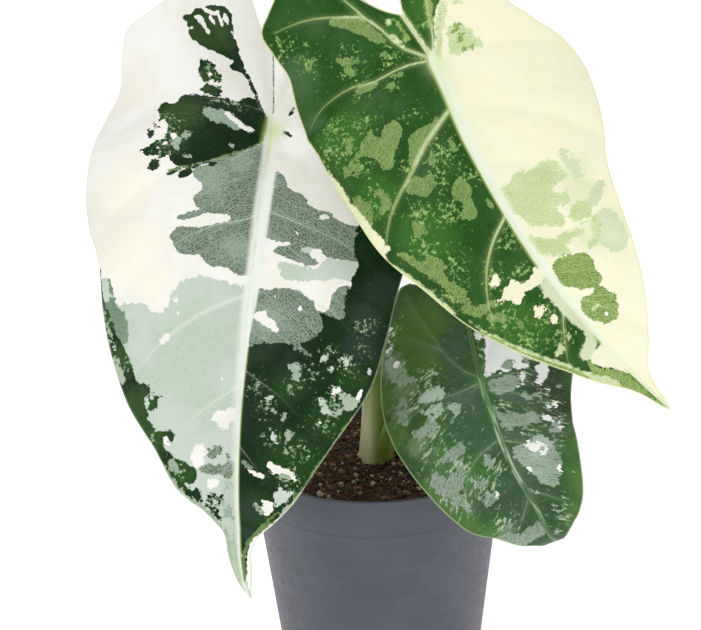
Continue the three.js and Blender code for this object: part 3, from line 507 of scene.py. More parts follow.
RIGHT["ground"] = "dark"
RIGHT["markings"] = [
    # the right half is cream, but for a dark sector beside the slit
    ("cream", 0.3, (0, -25), (-3, -40), (18, -80), (60, -60), (70, 20), (60, 90), (30, 150), (0, 190),
        (-1, 120)),
    ("dark", 0.4, (1, -4), (1, -26), (4, -36), (10, -60), (17, -68), (23, -62), (21, -38), (18, -21),
        (14, -18.5), (9, -14), (6, -8)),
    ("leek", 1.0, (5, -12), (8, -17), (10, -22), (13, -26), (14, -23), (10, -16), (7, -11)),
    ("pear", 0.8, (1, 0), (3, -4), (8, -11), (13, -17), (17, -20), (18, -17), (13, -12), (8, -6), (3, 1)),
    # olive smudges on the cream beside it
    ("pear", 1.6, (8, -1), (12, -8), (17, -9), (19, -6), (20, -1), (22, 3), (14, 3), (8, 1)),
    ("leek", 1.8, (12, -6.5), (14, -7.5), (18, -8), (18, -6.5), (14, -5.5)),
    ("leek", 1.8, (13, -3), (15, -4), (18, -5), (17, -3), (14, -2)),
    ("leek", 0.9, (13, 0.5), (15, 1), (17, 2), (14, 1.8)),
    ("leek", 0.8, (12.6, -12.6, 0.9)),
    ("pear", 0.8, (22, -15, 1.6)),
    # net-veined patches on the dark left half
    ("sage", 0.4, (-28, -38), (-27, -40), (-22, -38), (-16, -34.5), (-13.5, -29), (-11.5, -20), (-12, -17.5),
        (-16, -20.5), (-18.5, -25), (-22, -31), (-26, -35.5)),
    ("sage", 0.8, (-33.5, -17), (-32, -19.2), (-30, -18.5), (-29.5, -16), (-31, -14.3), (-33, -15.5)),
    ("sage", 1.4, (-47, -28.5), (-44, -29.5), (-40, -30), (-40.5, -28.7), (-44, -28), (-45.5, -26)),
    ("sage", 1.2, (-51, -47), (-49, -47.5), (-48.7, -45.5), (-50, -44.5)),
    ("sage", 1.4, (-40.5, -36, 1.2)),
    ("sage", 1.2, (-17.5, -16), (-15, -15), (-13.7, -13), (-15.5, -12.5)),
    ("sage", 1.6, (-34, -24), (-31, -24.5), (-28, -21), (-29, -18), (-32, -19.5)),
    ("sage", 0.9, (-36, -8.5), (-30, -8.7), (-25, -6.5), (-24, -4.2), (-29, -3.5), (-34, -5)),
    ("sage", 0.9, (-20, -5), (-17, -5), (-13, -3.5), (-14, -1), (-17, -2)),
    ("sage", 1.3, (-23, -1), (-20, -2), (-17.5, 0), (-19, 3), (-21.5, 2)),
    ("sage", 0.6, (-46, 23.5), (-42, 23), (-41, 20), (-38, 18), (-35, 17.5), (-34.5, 22), (-32.5, 22.5),
        (-31.5, 19), (-28, 17.7), (-24.5, 17.3), (-23, 20), (-24, 25), (-28, 27.5), (-30.5, 29), (-31, 33),
        (-36, 34.2), (-37.5, 32), (-37, 29.5), (-41, 26.5), (-46, 26)),
    ("sage", 1.5, (-54, 29), (-52, 26.5), (-47, 26), (-44, 27.5), (-45, 30.5), (-49, 29.5)),
    ("sage", 1.6, (-49.5, 10, 1.6)),
    ("sage", 1.8, (-50, 22), (-48, 17), (-45.5, 14), (-43.5, 17), (-44, 20), (-47, 23)),
    ("sage", 0.5, (-26.5, 35.5), (-24, 31), (-22.5, 26.5), (-18, 25), (-12, 24), (-7, 22), (-8, 25),
        (-15, 30), (-20, 33.5), (-25, 37)),
    ("sage", 0.7, (-33, 42.5), (-30, 40), (-26, 39.5), (-24, 41.5), (-20, 41.5), (-20, 47), (-24, 48.7),
        (-28, 48.7), (-28.5, 46), (-31, 45.5)),
    ("sage", 1.8, (-19, 37), (-16, 34), (-13, 33.5), (-15, 37), (-18, 39)),
    ("sage", 0.6, (-17, 54), (-15, 50.5), (-11, 48), (-9, 48), (-9, 51), (-7.3, 54), (-9.5, 56), (-10.3, 64),
        (-12, 65.7), (-15, 65.3), (-18, 62.5), (-16.5, 60.5), (-14.5, 60), (-14.5, 57)),
    ("sage", 1.0, (-6, 61), (-3.5, 61), (-3.5, 65), (-5.5, 66)),
    ("sage", 1.6, (-8, 34), (-5.5, 33), (-4, 36), (-6, 38.5), (-8.5, 37)),
    ("sage", 0.9, (-56, 36), (-52, 35.5), (-50, 38), (-48, 43), (-50, 46), (-53, 48), (-56, 46)),
    ("sage", 1.1, (-44.5, 38), (-42, 37), (-41, 40), (-39.5, 45), (-45, 47), (-47.5, 46), (-44, 43)),
    ("sage", 0.9, (-50, 61.5), (-47, 62), (-44, 63), (-43, 69), (-36, 69), (-34, 71), (-34, 75),
        (-35.5, 78.5), (-39.5, 80.5), (-44, 75), (-48, 69)),
    ("sage", 2.0, (-41, 82), (-37, 79), (-34, 82), (-33, 88), (-35, 92), (-38, 91)),
    ("sage", 1.2, (-39, 92), (-36, 91), (-32, 93.5), (-31, 96), (-27, 95.5), (-24, 97), (-24, 99.3),
        (-33, 99.5), (-36, 97)),
    ("sage", 2.0, (-33, 100), (-28, 100), (-24, 104), (-25, 107), (-30, 105)),
    ("sage", 2.0, (-38, 56), (-34, 55), (-32, 58), (-35, 62), (-38, 60)),
    # cream along the lower left margin, and a broken band of it across to the midrib
    ("butter", 0.4, (-60, 22), (-57, 31), (-54.5, 40), (-52.5, 48), (-50.5, 56), (-50, 61), (-55, 62),
        (-62, 44)),
    ("cream", 1.4, (-23, 91.5), (-21, 88.5), (-17.5, 88.5), (-17, 92), (-20, 93.5)),
    ("cream", 1.5, (-25, 98.5), (-20, 96.5), (-14, 93.5), (-12.5, 97.5), (-7, 98.2), (-3, 96), (0, 97),
        (0, 104), (-6, 102.5), (-13, 101.5), (-17, 103.3), (-20.5, 102), (-18, 100)),
    ("cream", 1.7, (-16, 112.5), (-14, 108.5), (-11, 110), (-10, 113), (-12, 115)),
    ("cream", 1.0, (-11, 116), (-8.5, 115.7), (-8, 118), (-9.5, 120.3), (-11.3, 119)),
    ("pear", 0.9, (-18.7, 131), (-17, 128), (-14, 126.8), (-13.7, 129.5), (-16, 132.5)),
    ("pear", 1.4, (-10, 127.5, 0.8)),
    ("sage", 1.2, (-17, 122.5, 1.2)),
    ("sage", 1.2, (-22, 110.5, 1.6)),
    ("haze", 0.4, (1, 102), (-6.5, 102.5), (-6.5, 106), (-8, 107.5), (-6, 110), (-5.3, 116), (-6, 120),
        (-5, 124), (-3.5, 129), (-4.5, 133.5), (-10, 135), (-12, 138), (-10, 141), (-3, 139), (0, 134)),
    ("cream", 0.3, (1, 139), (-4, 139.5), (-9.5, 140.5), (-9, 145), (-4, 151), (-1.5, 157), (1, 160)),
    ("leek", 0.5, (-11.5, 143), (-10, 139.5), (-9, 145), (-7, 149), (-4, 151.5), (-1.8, 156), (-1.5, 163),
        (-1, 172), (-1, 186), (-4, 180), (-14, 156)),
    ("dark", 0.4, (-3.5, 168), (-2.5, 170), (-1, 180), (-2, 182), (-4, 174)),
    # pale bands in the rolled left margin: partly the leaf's own paler green, partly a painted sheen where
    # the rolled edge catches the light
    ("pear", 0.3, (-39, 97), (-36, 104), (-28, 118), (-20, 132), (-12, 146), (-6, 156), (-8, 160),
        (-20, 139), (-34, 115)),
    ("leek", 0.4, (-37, 104), (-30, 117), (-22, 131), (-14, 145), (-14.5, 148), (-24, 132), (-33, 116)),
    ("dark", 0.4, (-52, 58), (-48, 63), (-44.5, 71), (-40, 81), (-37, 91), (-40, 93), (-46, 80), (-54, 62)),
    ("pear", 0.3, (-53, 63), (-49, 71), (-44, 83), (-41, 93), (-43, 93), (-49, 80), (-55, 66)),
    # cream streaks left of the slit
    ("pear", 1.0, (-7.6, -23.5), (-6.5, -26.5), (-5.4, -25.5), (-5.6, -22.5)),
    ("pear", 1.2, (-9, -20), (-7.5, -20.5), (-5.8, -15), (-6.4, -13.5), (-8.4, -16)),
    ("leek", 0.8, (-4.2, -25), (-3, -24), (-2.8, -14), (-3.8, -13), (-4.6, -19)),
    # pear, haze and leek on the cream half
    ("pear", 1.3, (1, 60), (6, 60.5), (10, 58.5), (14, 58.5), (18, 60.5), (24, 58.5), (28, 61), (29.5, 66),
        (29, 70), (25, 73), (26.5, 79), (24, 82), (21, 80), (17.5, 80), (19, 85), (16, 88.5), (10, 84.5),
        (5, 80), (4, 75), (0, 69)),
    ("cream", 1.7, (21, 71), (25, 70), (27, 73), (24, 76), (21, 74)),
    ("haze", 1.8, (30, 60), (32.5, 57.5), (35, 63), (37, 68), (35, 73.5), (30.5, 73.5), (31, 67)),
    ("pear", 1.6, (20, 85), (25, 82), (31, 84), (30.5, 89), (25, 92), (22, 89)),
    ("pear", 1.4, (0, 83), (4, 85), (9, 90), (15, 90.5), (22, 92.5), (23, 96), (15, 95), (11, 96), (14, 99),
        (6, 97), (0, 91)),
    ("haze", 1.4, (31, 83.5), (35, 81), (40, 80), (39.5, 85), (34, 89), (30, 88)),
    ("haze", 1.0, (28, 93), (33, 91), (37.5, 95), (37.5, 101), (36, 107), (33, 112), (27, 111), (24, 105),
        (24, 101), (28, 99)),
    ("pear", 0.9, (25.5, 93), (29, 90.5), (30.7, 95), (29, 99.7), (21, 103.3), (18, 102), (25, 98.5)),
    ("leek", 0.4, (1.5, 101), (4, 98.7), (9, 99), (13, 100), (17, 102.5), (18.7, 106), (16.5, 110.5),
        (17, 117), (11, 117), (6, 114.5), (4, 111.5), (1, 109)),
    ("leek", 0.7, (1.5, 121), (5, 118.5), (10, 119), (14, 117), (15, 121), (17.2, 124), (15.5, 130),
        (13, 133.5), (10, 135), (3, 131), (1.3, 126)),
    ("cream", 1.5, (3, 112), (6, 115), (10, 117.5), (12.5, 118.2), (8, 119), (2, 117)),
    ("cream", 0.4, (8.6, 129.8, 1)),
    ("pear", 0.9, (4, 124.5), (8, 123.5), (10, 125.5), (5, 126.3)),
]
RIGHT["flecked"] = [
    (-30, -18, 9), (-45, -30, 6), (-50, -42, 7), (-14, -12, 6), (-33, -7, 6), (-50, 4, 9), (-50, 18, 11),
    (-38, 14, 8), (-20, 0, 6), (-18, 18, 5), (-12, 36, 9), (-18, 44, 6), (-46, 42, 8), (-22, 58, 8),
    (-38, 66, 8), (-6, 50, 6), (-38, 86, 8), (-20, 90, 8), (-26, 105, 9), (-13, 112, 8), (-24, 118, 7),
    (-12, 125, 7), (-6, 80, 6), (-33, 54, 7), (-58, 18, 6), (-44, 30, 6), (-9, 94, 6), (6, -14, 5),
    (12, -34, 8), (-12, -50, 6), (-30, 76, 7), (-28, 36, 5)
]
RIGHT["tones"] = [
    ("cream", (222, 229, 188), [(30, 80, 9), (33, 70, 8), (24, 97, 8), (32, 100, 9)]),
    ("dark", (58, 106, 34), [(-48, 12, 16), (-34, 62, 14), (-22, 110, 16), (-44, 40, 10), (-6, -20, 8),
        (10, -20, 10)]),
    # painted sheen: a bluish-green tone where the dark left back lobe catches the light near its margin
    ("dark", (66, 100, 62), [(-50, -28, 10), (-57, -8, 6)]),
    ("dark", (32, 78, 22), [(-8, 56, 12), (-20, -26, 12), (-36, 26, 8), (-8, 106, 9)]),
]

LOW["ground"] = "dark"
LOW["markings"] = [
    # pale marbling on the left half
    ("sage", 1.8, (-35, -25), (-37, -19), (-34, -12), (-31, -8), (-27, -6), (-30, -3), (-34, -2), (-37, -3),
        (-39, -8), (-40, -14), (-38, -22)),
    ("cream", 1.3, (-36, -33), (-34, -35.5), (-33.3, -31), (-34.5, -28.5)),
    ("cream", 1.1, (-37, -28), (-36, -26), (-35.3, -20), (-36.3, -21)),
    ("cream", 1.3, (-36.5, -15.5), (-35, -16.5), (-33.8, -15.5), (-34, -13), (-36, -13.8)),
    ("sage", 1.4, (-38.5, 3), (-36, 0), (-34.8, 4), (-35.5, 12), (-38, 15), (-39.3, 9)),
    ("mint", 1.8, (-25, 1.5), (-22, 0), (-18.5, 0.5), (-18, 4), (-15, 5), (-20, 7), (-27, 8.5), (-29, 6)),
    ("mint", 1.8, (-31, 10.5), (-27, 9.3), (-20, 8.3), (-21, 11), (-20, 13.5), (-24, 15.5), (-28, 16),
        (-30, 14)),
    ("mint", 1.8, (-18.5, 9), (-14, 10), (-12.5, 15), (-15, 17.3), (-17.5, 15), (-19, 12)),
    ("sage", 2.4, (-37, 18), (-32, 17), (-28, 17), (-26, 15), (-23.5, 18), (-25, 21.5), (-28, 21),
        (-33, 22.5)),
    ("sage", 2.3, (-31, 34.5), (-27, 31.5), (-22, 31), (-19.5, 29.7), (-16.5, 31.5), (-19, 33.7),
        (-25, 34.5)),
    ("sage", 2.4, (-37, 40), (-34, 36.5), (-31, 37), (-28, 40.5), (-24, 39), (-21, 36.5), (-19, 39),
        (-20, 42.5), (-26, 44), (-27, 47), (-25, 51), (-26, 55), (-30, 49), (-33.5, 44.5)),
    ("sage", 1.8, (-18.5, 47), (-15.5, 45.5), (-13.3, 47), (-15.5, 49.5)),
    ("sage", 1.4, (-20.5, 55), (-17, 52.7), (-13.5, 51.5), (-12, 53.5), (-14, 56), (-18, 56.7)),
    ("cream", 0.3, (-14, 53.7), (-12.5, 52.5), (-11.7, 53.5), (-13.3, 54.5)),
    ("sage", 2.3, (-11.5, 39), (-8, 36), (-5.5, 37.5), (-7.5, 42), (-11, 42)),
    ("sage", 2.1, (-16.5, 67), (-14, 66.5), (-14.5, 70), (-17, 69)),
    ("sage", 1.4, (-24, 70.5), (-18, 72), (-11, 73.5), (-4, 72.5), (-1, 73), (-1, 77.5), (-6, 79), (-13, 79),
        (-20, 76)),
    # the pale sector beside the slit, and marbling on the right half
    ("cream", 0.3, (7, -24), (14, -16), (24, -9), (32, -3), (30, 4), (26, 10), (22, 9), (25, 5), (26, 0),
        (20, -2), (11, -1), (1.5, -0.5), (4, -8), (6, -17)),
    ("cream", 1.4, (1.5, -30), (3.5, -30), (4.2, -18), (2.6, -17)),
    ("dark", 0.6, (1, 0), (5, -1.7), (9.5, -2.8), (10.3, -0.7), (6, 0.5), (2, 1.3)),
    ("sage", 1.1, (10, -2), (11, -6), (13.5, -7.5), (16.5, -6.5), (16, -3.5), (14, -2)),
    ("dark", 1.8, (20, -7.5), (22, -7), (23, -4.5), (26.5, -4.3), (28.3, -2), (26, 0), (22, -1)),
    ("dark", 1.1, (20, -1.5), (23, -2.3), (25.3, -1), (26, 3), (23, 7.3), (20.5, 5)),
    ("sage", 1.1, (2, 3), (6, 1), (12, 0.5), (15.5, 2), (15.5, 7), (13.5, 10), (10, 9), (7, 11), (4, 8.5)),
    ("dark", 1.6, (16, 1), (18, 3), (20.5, 5), (19, 7), (16.5, 6.3)),
    ("cream", 1.5, (18.7, 3.3, 0.9)),
    ("cream", 1.5, (16.3, 8, 0.9)),
    ("sage", 1.8, (15, 12.5), (18, 12), (20, 15), (25, 13.3), (23, 15.8), (19, 16.6), (16, 15)),
    ("sage", 1.4, (32, 12.3), (33.5, 9.3), (35, 10), (34, 13)),
    ("sage", 2.1, (2, 14), (4, 19), (9, 22.5), (18, 24.5), (20.5, 27), (17, 30.5), (8, 29), (3, 29),
        (1.5, 22)),
    ("dark", 1.3, (4, 16), (8, 18.5), (12, 20), (13, 22.5), (8, 22), (5, 19)),
    ("sage", 1.1, (2.5, 38), (5, 36.5), (9, 38.3), (12, 38), (15, 36.3), (18, 36.7), (19.3, 42), (20.3, 48),
        (21, 52), (19, 56.5), (16, 60.5), (12, 62.7), (9, 62.3), (7, 58), (5.5, 52), (3.5, 46)),
    # this pale spot is partly white tissue and partly a painted highlight, the soft glint on the sage patch
    ("cream", 1.3, (8.5, 38), (11, 38.5), (14, 39), (17, 42), (18, 45), (16.3, 48), (13, 48.7), (11, 46),
        (10.5, 41)),
    ("sage", 0.9, (12.5, 46.2, 1.2)),
    ("sage", 0.9, (15.6, 44.2, 1.3)),
    ("cream", 0.9, (17.2, 57.2, 1.2)),
    ("cream", 0.9, (5.8, 50.7, 1)),
    ("sage", 1.6, (20.5, 36.5), (23.5, 33.5), (25.5, 30.5), (26, 34), (28.5, 36), (28, 38), (25, 40),
        (22.5, 38)),
    ("cream", 1.3, (27, 37, 0.9)),
    ("cream", 1.3, (25, 31.5, 0.8)),
    ("cream", 1.1, (29, 28, 1)),
    ("cream", 1.1, (26.7, 33, 0.7)),
    ("cream", 1.1, (28.3, 21.5, 0.8)),
    ("cream", 1.1, (25.5, 21.5, 0.6)),
    ("cream", 1.1, (27.3, 13, 0.9)),
    ("cream", 1.1, (22.5, 30, 0.7)),
    ("sage", 1.8, (0.5, 56), (2.5, 58), (3.5, 62.5), (1.5, 61)),
    ("sage", 1.8, (1, 79), (4, 78.5), (4, 81), (2, 82.5)),
]
LOW["flecked"] = [
    (-36, -30, 6), (-24, -4, 7), (-30, 4, 8), (-20, 14, 7), (-30, 26, 9), (-24, 36, 10), (-28, 46, 9),
    (-16, 48, 8), (-16, 66, 8), (22, -3, 7), (18, 5, 6), (6, 18, 6), (14, 28, 10), (27, 20, 7), (27, 32, 6),
    (22, 42, 6), (8, 74, 6), (-36, -12, 6), (6, -12, 6), (-38, 8, 6), (-6, 44, 6)
]
LOW["tones"] = [
    ("dark", (78, 118, 44), [(-30, -26, 12), (-20, -32, 13), (-24, -12, 10), (-42, 0, 8), (-43, 14, 7),
        (-36, 44, 8), (-30, 56, 8), (-22, 68, 8), (24, 66, 9), (14, 76, 8), (33, 52, 8)]),
    # painted sheen: a slate-green band of gloss along the midrib
    ("dark", (58, 90, 68), [(-8, 10, 11), (-16, 24, 10), (-6, 30, 10), (8, 26, 9), (20, 38, 8), (-6, 52, 9),
        (12, 12, 8), (-10, -16, 8)]),
    ("dark", (56, 108, 36), [(-16, 44, 9), (-26, 34, 9), (-28, 20, 8), (-18, 64, 8), (-34, -6, 8),
        (-22, 12, 6)]),
    ("dark", (120, 142, 106), [(-37, -14, 7), (-34, -2, 6), (-38, 8, 5), (-36, 24, 5), (-16, 70, 5)]),
    ("dark", (40, 42, 26), [(28, 14, 10), (24, 3, 8), (32, 24, 7), (30, 4, 8), (28, 28, 8)]),
    ("dark", (44, 74, 46), [(-8, 64, 11), (-18, 56, 8), (6, 68, 9), (-4, 84, 10), (-2, 44, 7)]),
    # painted highlight: the sage whitened where the patch catches the light
    ("sage", (168, 186, 172), [(14, 43, 7)]),
    ("sage", (100, 124, 100), [(-24, 33, 9), (-32, 42, 10), (-20, 44, 9), (-14, 56, 9), (-18, 72, 10),
        (-6, 76, 10), (-38, 8, 7)]),
    # painted highlight: the mint whitened where it catches the light
    ("mint", (178, 198, 180), [(-23, 5, 7), (-25, 13, 5)]),
]

# ---- colours

# Colours are in the usual 0 to 255 numbers.
# For each tissue: its ground, a second ground that clouds it (on the dark tissues this is a painted sheen),
# its fine veins and how much they show, how soft its edge is in millimetres, and the colour of the side
# veins on it and how much they show.
LEFT["tissues"] = {
    "cream": [(244, 244, 238), (240, 238, 226), (236, 236, 226), 0.2, 0.15, (236, 238, 226), 0.35],
    "dark": [(10, 36, 10), (18, 46, 16), (30, 60, 34), 0.3, 0.2, (64, 90, 58), 0.3],
    "slate": [(66, 86, 64), (84, 102, 86), (166, 182, 162), 0.87, 0.2, (178, 194, 174), 0.6],
    "sage": [(182, 199, 180), (196, 208, 196), (210, 220, 206), 0.55, 0.6, (216, 225, 211), 0.8],
    "mint": [(122, 148, 124), (148, 168, 150), (186, 202, 184), 0.75, 0.3, (196, 210, 190), 0.5],
    "jade": [(98, 126, 102), (122, 146, 122), (150, 172, 148), 0.6, 0.5, (140, 170, 140), 0.4],
    "haze": [(134, 156, 126), (164, 180, 154), (190, 202, 182), 0.6, 0.5, (180, 194, 174), 0.4],
    "leek": [(66, 98, 44), (104, 132, 76), (128, 154, 100), 0.6, 0.9, (180, 194, 174), 0.4],
}
RIGHT["tissues"] = {
    "dark": [(26, 68, 14), (46, 84, 34), (58, 102, 40), 0.35, 0.2, (180, 202, 130), 0.95],
    "cream": [(239, 239, 212), (240, 238, 206), (233, 232, 200), 0.3, 0.2, (230, 229, 206), 0.5],
    "sage": [(94, 127, 58), (82, 117, 48), (152, 176, 110), 0.8, 0.2, (204, 217, 172), 0.9],
    "pear": [(204, 217, 164), (220, 228, 188), (178, 200, 136), 0.85, 1.8, (224, 232, 196), 0.5],
    "haze": [(216, 225, 194), (208, 219, 180), (198, 210, 174), 0.5, 1.8, (216, 226, 196), 0.4],
    "leek": [(88, 126, 46), (108, 142, 60), (176, 196, 126), 0.85, 0.3, (190, 208, 140), 0.5],
    "butter": [(236, 236, 200), (214, 222, 160), (240, 240, 216), 0.6, 1.4, (226, 228, 190), 0.4],
}
LOW["tissues"] = {
    "dark": [(46, 78, 42), (56, 92, 46), (84, 112, 76), 0.5, 0.2, (128, 160, 116), 0.6],
    "sage": [(136, 156, 138), (116, 142, 114), (178, 192, 174), 0.7, 0.35, (180, 198, 172), 0.8],
    "mint": [(154, 178, 158), (138, 164, 140), (188, 204, 184), 0.6, 0.35, (190, 208, 184), 0.8],
    "cream": [(252, 252, 248), (244, 244, 248), (232, 236, 230), 0.3, 0.25, (232, 238, 228), 0.5],
}
# in each look, the seam colour and width paint the shadow in the slit between the back lobes
LEFT["look"] = {
    "rib": (236, 240, 230), "rib_edge": (150, 178, 96), "streaks": 0.15, "lips": (242, 245, 236),
    "seam": (70, 80, 62), "seam_width": (0.15, 0.5), "lip_width": 1.2, "glow": (208, 224, 152),
    "margin": (206, 216, 186), "rim": 0.3, "fleck": (96, 130, 82), "bright": (178, 196, 168),
    "sparse": 0.67, "roughness": 0.4, "shine": 0.12, "lean": 0.0, "stretch": 1.0, "holes": 0.0,
}
RIGHT["look"] = {
    "rib": (233, 239, 219), "rib_edge": (152, 184, 88), "streaks": 0.15, "lips": (214, 224, 188),
    "seam": (120, 116, 96), "seam_width": (0.08, 0.35), "lip_width": 0.9, "glow": (216, 232, 176),
    "margin": (222, 228, 170), "rim": 0.8, "fleck": (100, 140, 64), "bright": (160, 186, 118),
    "sparse": 0.65, "roughness": 0.38, "shine": 0.14, "lean": 0.0, "stretch": 1.0, "holes": 0.0,
}
LOW["look"] = {
    "rib": (176, 200, 168), "rib_edge": (66, 102, 58), "streaks": 0.95, "lips": (140, 168, 130),
    "seam": (48, 72, 42), "seam_width": (0.2, 0.6), "lip_width": 0.7, "glow": (100, 150, 84),
    "margin": (176, 196, 150), "rim": 0.6, "fleck": (112, 142, 104), "bright": (176, 194, 170),
    "sparse": 0.635, "roughness": 0.3, "shine": 0.2, "lean": 0.55, "stretch": 1.6, "holes": 0.75,
}
UNDERSIDE = {"colour": (188, 198, 164), "share": 0.42, "duller": 0.14}

# ---- curves in the plane and in space


def chord_lengths(points):
    """How far along a chain each of its points lies."""
    steps = np.linalg.norm(np.diff(np.array(points, float), axis=0), axis=1)
    return np.concatenate([[0], np.cumsum(steps)])


def curve_at(knots, points, t):
    """A smooth curve through points at the given knots, straight beyond its ends."""
    knots = np.asarray(knots, float)
    points = np.asarray(points, float)
    t = np.atleast_1d(np.asarray(t, float))
    gaps = np.diff(knots)
    steps = np.diff(points, axis=0) / gaps[:, None]
    slopes = np.concatenate([steps[:1], np.zeros((len(points) - 2, points.shape[1])), steps[-1:]])
    before = gaps[:-1, None]
    after = gaps[1:, None]
    slopes[1:-1] = (steps[:-1] * after + steps[1:] * before) / (before + after)
    i = np.clip(np.searchsorted(knots, t, side="right") - 1, 0, len(knots) - 2)
    gap = gaps[i][:, None]
    x = ((t - knots[i]) / gaps[i])[:, None]
    s = np.clip(x, 0, 1)
    value = (2 * s**3 - 3 * s**2 + 1) * points[i] + (3 * s**2 - 2 * s**3) * points[i + 1]
    value += gap * ((s**3 - 2 * s**2 + s) * slopes[i] + (s**3 - s**2) * slopes[i + 1])
    return value + gap * (np.minimum(x, 0) * slopes[i] + np.maximum(x - 1, 0) * slopes[i + 1])


def direction_at(knots, points, t):
    """The unit direction of that curve, over a millimetre round t."""
    return unit(curve_at(knots, points, t + 0.5) - curve_at(knots, points, t - 0.5))


def smooth_chain(points, count):
    """Evenly spaced points on the smooth curve through a chain."""
    knots = chord_lengths(points)
    return [tuple(p) for p in curve_at(knots, points, np.linspace(0, knots[-1], count))]


def bell(x, width):
    """1 where x is 0, and falling off on both sides over the width."""
    return np.exp(-((x / width) ** 2))


def unit(vectors):
    return vectors / np.linalg.norm(vectors, axis=-1, keepdims=True)


def noise_over(x, y, per_mm, level):
    """Smooth noise over a plane, with so many waves to the millimetre. Each level has its own pattern."""
    return np.array([noise.noise(Vector((a * per_mm, b * per_mm, level))) for a, b in zip(x, y)])


def along_chain(u, v, chain):
    """Distance to a chain of points, its side (-1 or 1) and the share of the chain's length there."""
    lengths = chord_lengths(chain)
    nearest = np.full(u.shape, FAR)
    side = np.ones(u.shape)
    share = np.zeros(u.shape)
    for (a, b), start, length in zip(zip(chain, chain[1:]), lengths, np.diff(lengths)):
        dx, dy = b[0] - a[0], b[1] - a[1]
        t = np.clip(((u - a[0]) * dx + (v - a[1]) * dy) / length**2, 0, 1)
        px, py = u - a[0] - t * dx, v - a[1] - t * dy
        distance = np.hypot(px, py)
        closer = distance < nearest
        nearest = np.where(closer, distance, nearest)
        side = np.where(closer, np.sign(px * dy - py * dx + 1 / FAR), side)
        share = np.where(closer, (start + t * length) / lengths[-1], share)
    return nearest, side, share


def rounded(outline):
    """A closed outline with its corners cut off twice, which eases them into curves."""
    points = np.array(outline, float)
    for reach in CORNER.reaches:
        step = np.roll(points, -1, axis=0) - points
        step = step * np.minimum(CORNER.share, reach / np.linalg.norm(step, axis=1, keepdims=True))
        before = np.roll(points, -1, axis=0) - step
        points = np.stack([points + step, before], 1).reshape(-1, 2)
    return [tuple(p) for p in points]


def depth_inside(u, v, marking):
    """How deep each point lies inside an outline or a round fleck, negative outside."""
    if len(marking) == 1:
        centre_u, centre_v, radius = marking[0]
        return radius - np.hypot(u - centre_u, v - centre_v)
    outline = rounded(marking)
    distance = along_chain(u, v, outline + outline[:1])[0]
    inside = np.zeros(u.shape, bool)
    for (ax, ay), (bx, by) in zip(outline, outline[1:] + outline[:1]):
        crosses = (ay > v) != (by > v)
        if ay != by:
            inside ^= crosses & (u < ax + (v - ay) * (bx - ax) / (by - ay))
    return np.where(inside, distance, -distance)


# ---- meshes shaped from grids


def grid(name, columns, rows):
    """A flat grid, with each point's shares (0 to 1) across and along it."""
    bpy.ops.mesh.primitive_grid_add(x_subdivisions=columns, y_subdivisions=rows, size=2)
    piece = bpy.context.object
    piece.name = name
    piece.data.name = name
    across, along, _ = (coordinates(piece.data).T + 1) / 2
    return piece, across, along


def coordinates(mesh):
    flat = np.empty(len(mesh.vertices) * 3, np.float32)
    mesh.vertices.foreach_get("co", flat)
    return flat.reshape(-1, 3).astype(float)


def move_points(mesh, points):
    """Puts the mesh's points where points says, in millimetres."""
    mesh.vertices.foreach_set("co", (np.asarray(points) * MM).astype(np.float32).ravel())
    mesh.update()


def piece_of(name, points, faces):
    """A new piece from its points, in millimetres, and its faces."""
    mesh = bpy.data.meshes.new(name)
    mesh.from_pydata((np.asarray(points) * MM).tolist(), [], faces)
    piece = bpy.data.objects.new(name, mesh)
    bpy.context.collection.objects.link(piece)
    return piece


def select_only(*pieces):
    bpy.ops.object.select_all(action="DESELECT")
    for piece in pieces:
        piece.select_set(True)
    bpy.context.view_layer.objects.active = pieces[0]


def edit(piece, *steps):
    """Runs mesh operators on all of a piece, in edit mode."""
    select_only(piece)
    bpy.ops.object.mode_set(mode="EDIT")
    bpy.ops.mesh.select_all(action="SELECT")
    for step in steps:
        step()
    bpy.ops.object.mode_set(mode="OBJECT")
    bpy.ops.object.select_all(action="DESELECT")


def weld():
    bpy.ops.mesh.remove_doubles(threshold=WELD * MM)


def flip():
    bpy.ops.mesh.flip_normals()


def face_outwards():
    bpy.ops.mesh.normals_make_consistent(inside=False)


def close_ends():
    """Fills the open ends of a tube."""
    bpy.ops.mesh.select_mode(type="EDGE")
    bpy.ops.mesh.select_all(action="DESELECT")
    bpy.ops.mesh.select_non_manifold()
    bpy.ops.mesh.edge_face_add()
    bpy.ops.mesh.select_all(action="SELECT")
    bpy.ops.mesh.select_mode(type="VERT")


def apply_modifiers(piece):
    bpy.context.view_layer.objects.active = piece
    for modifier in list(piece.modifiers):
        bpy.ops.object.modifier_apply(modifier=modifier.name)


def smooth(piece, angle=50):
    """Shades a piece smoothly, but for edges sharper than the angle."""
    select_only(piece)
    bpy.ops.object.shade_smooth_by_angle(angle=math.radians(angle))
    bpy.ops.object.select_all(action="DESELECT")


def join(name, pieces):
    select_only(*pieces)
    bpy.ops.object.join()
    bpy.ops.object.select_all(action="DESELECT")
    pieces[0].name = name
    pieces[0].data.name = name
    return pieces[0]


def give_value(mesh, name, values):
    """Stores one number for each point of a mesh, for its material to read."""
    attribute = mesh.attributes.get(name) or mesh.attributes.new(name, "FLOAT", "POINT")
    attribute.data.foreach_set("value", np.asarray(values, np.float32))


def values_of(mesh, name):
    values = np.empty(len(mesh.vertices), np.float32)
    mesh.attributes[name].data.foreach_get("value", values)
    return values.astype(float)


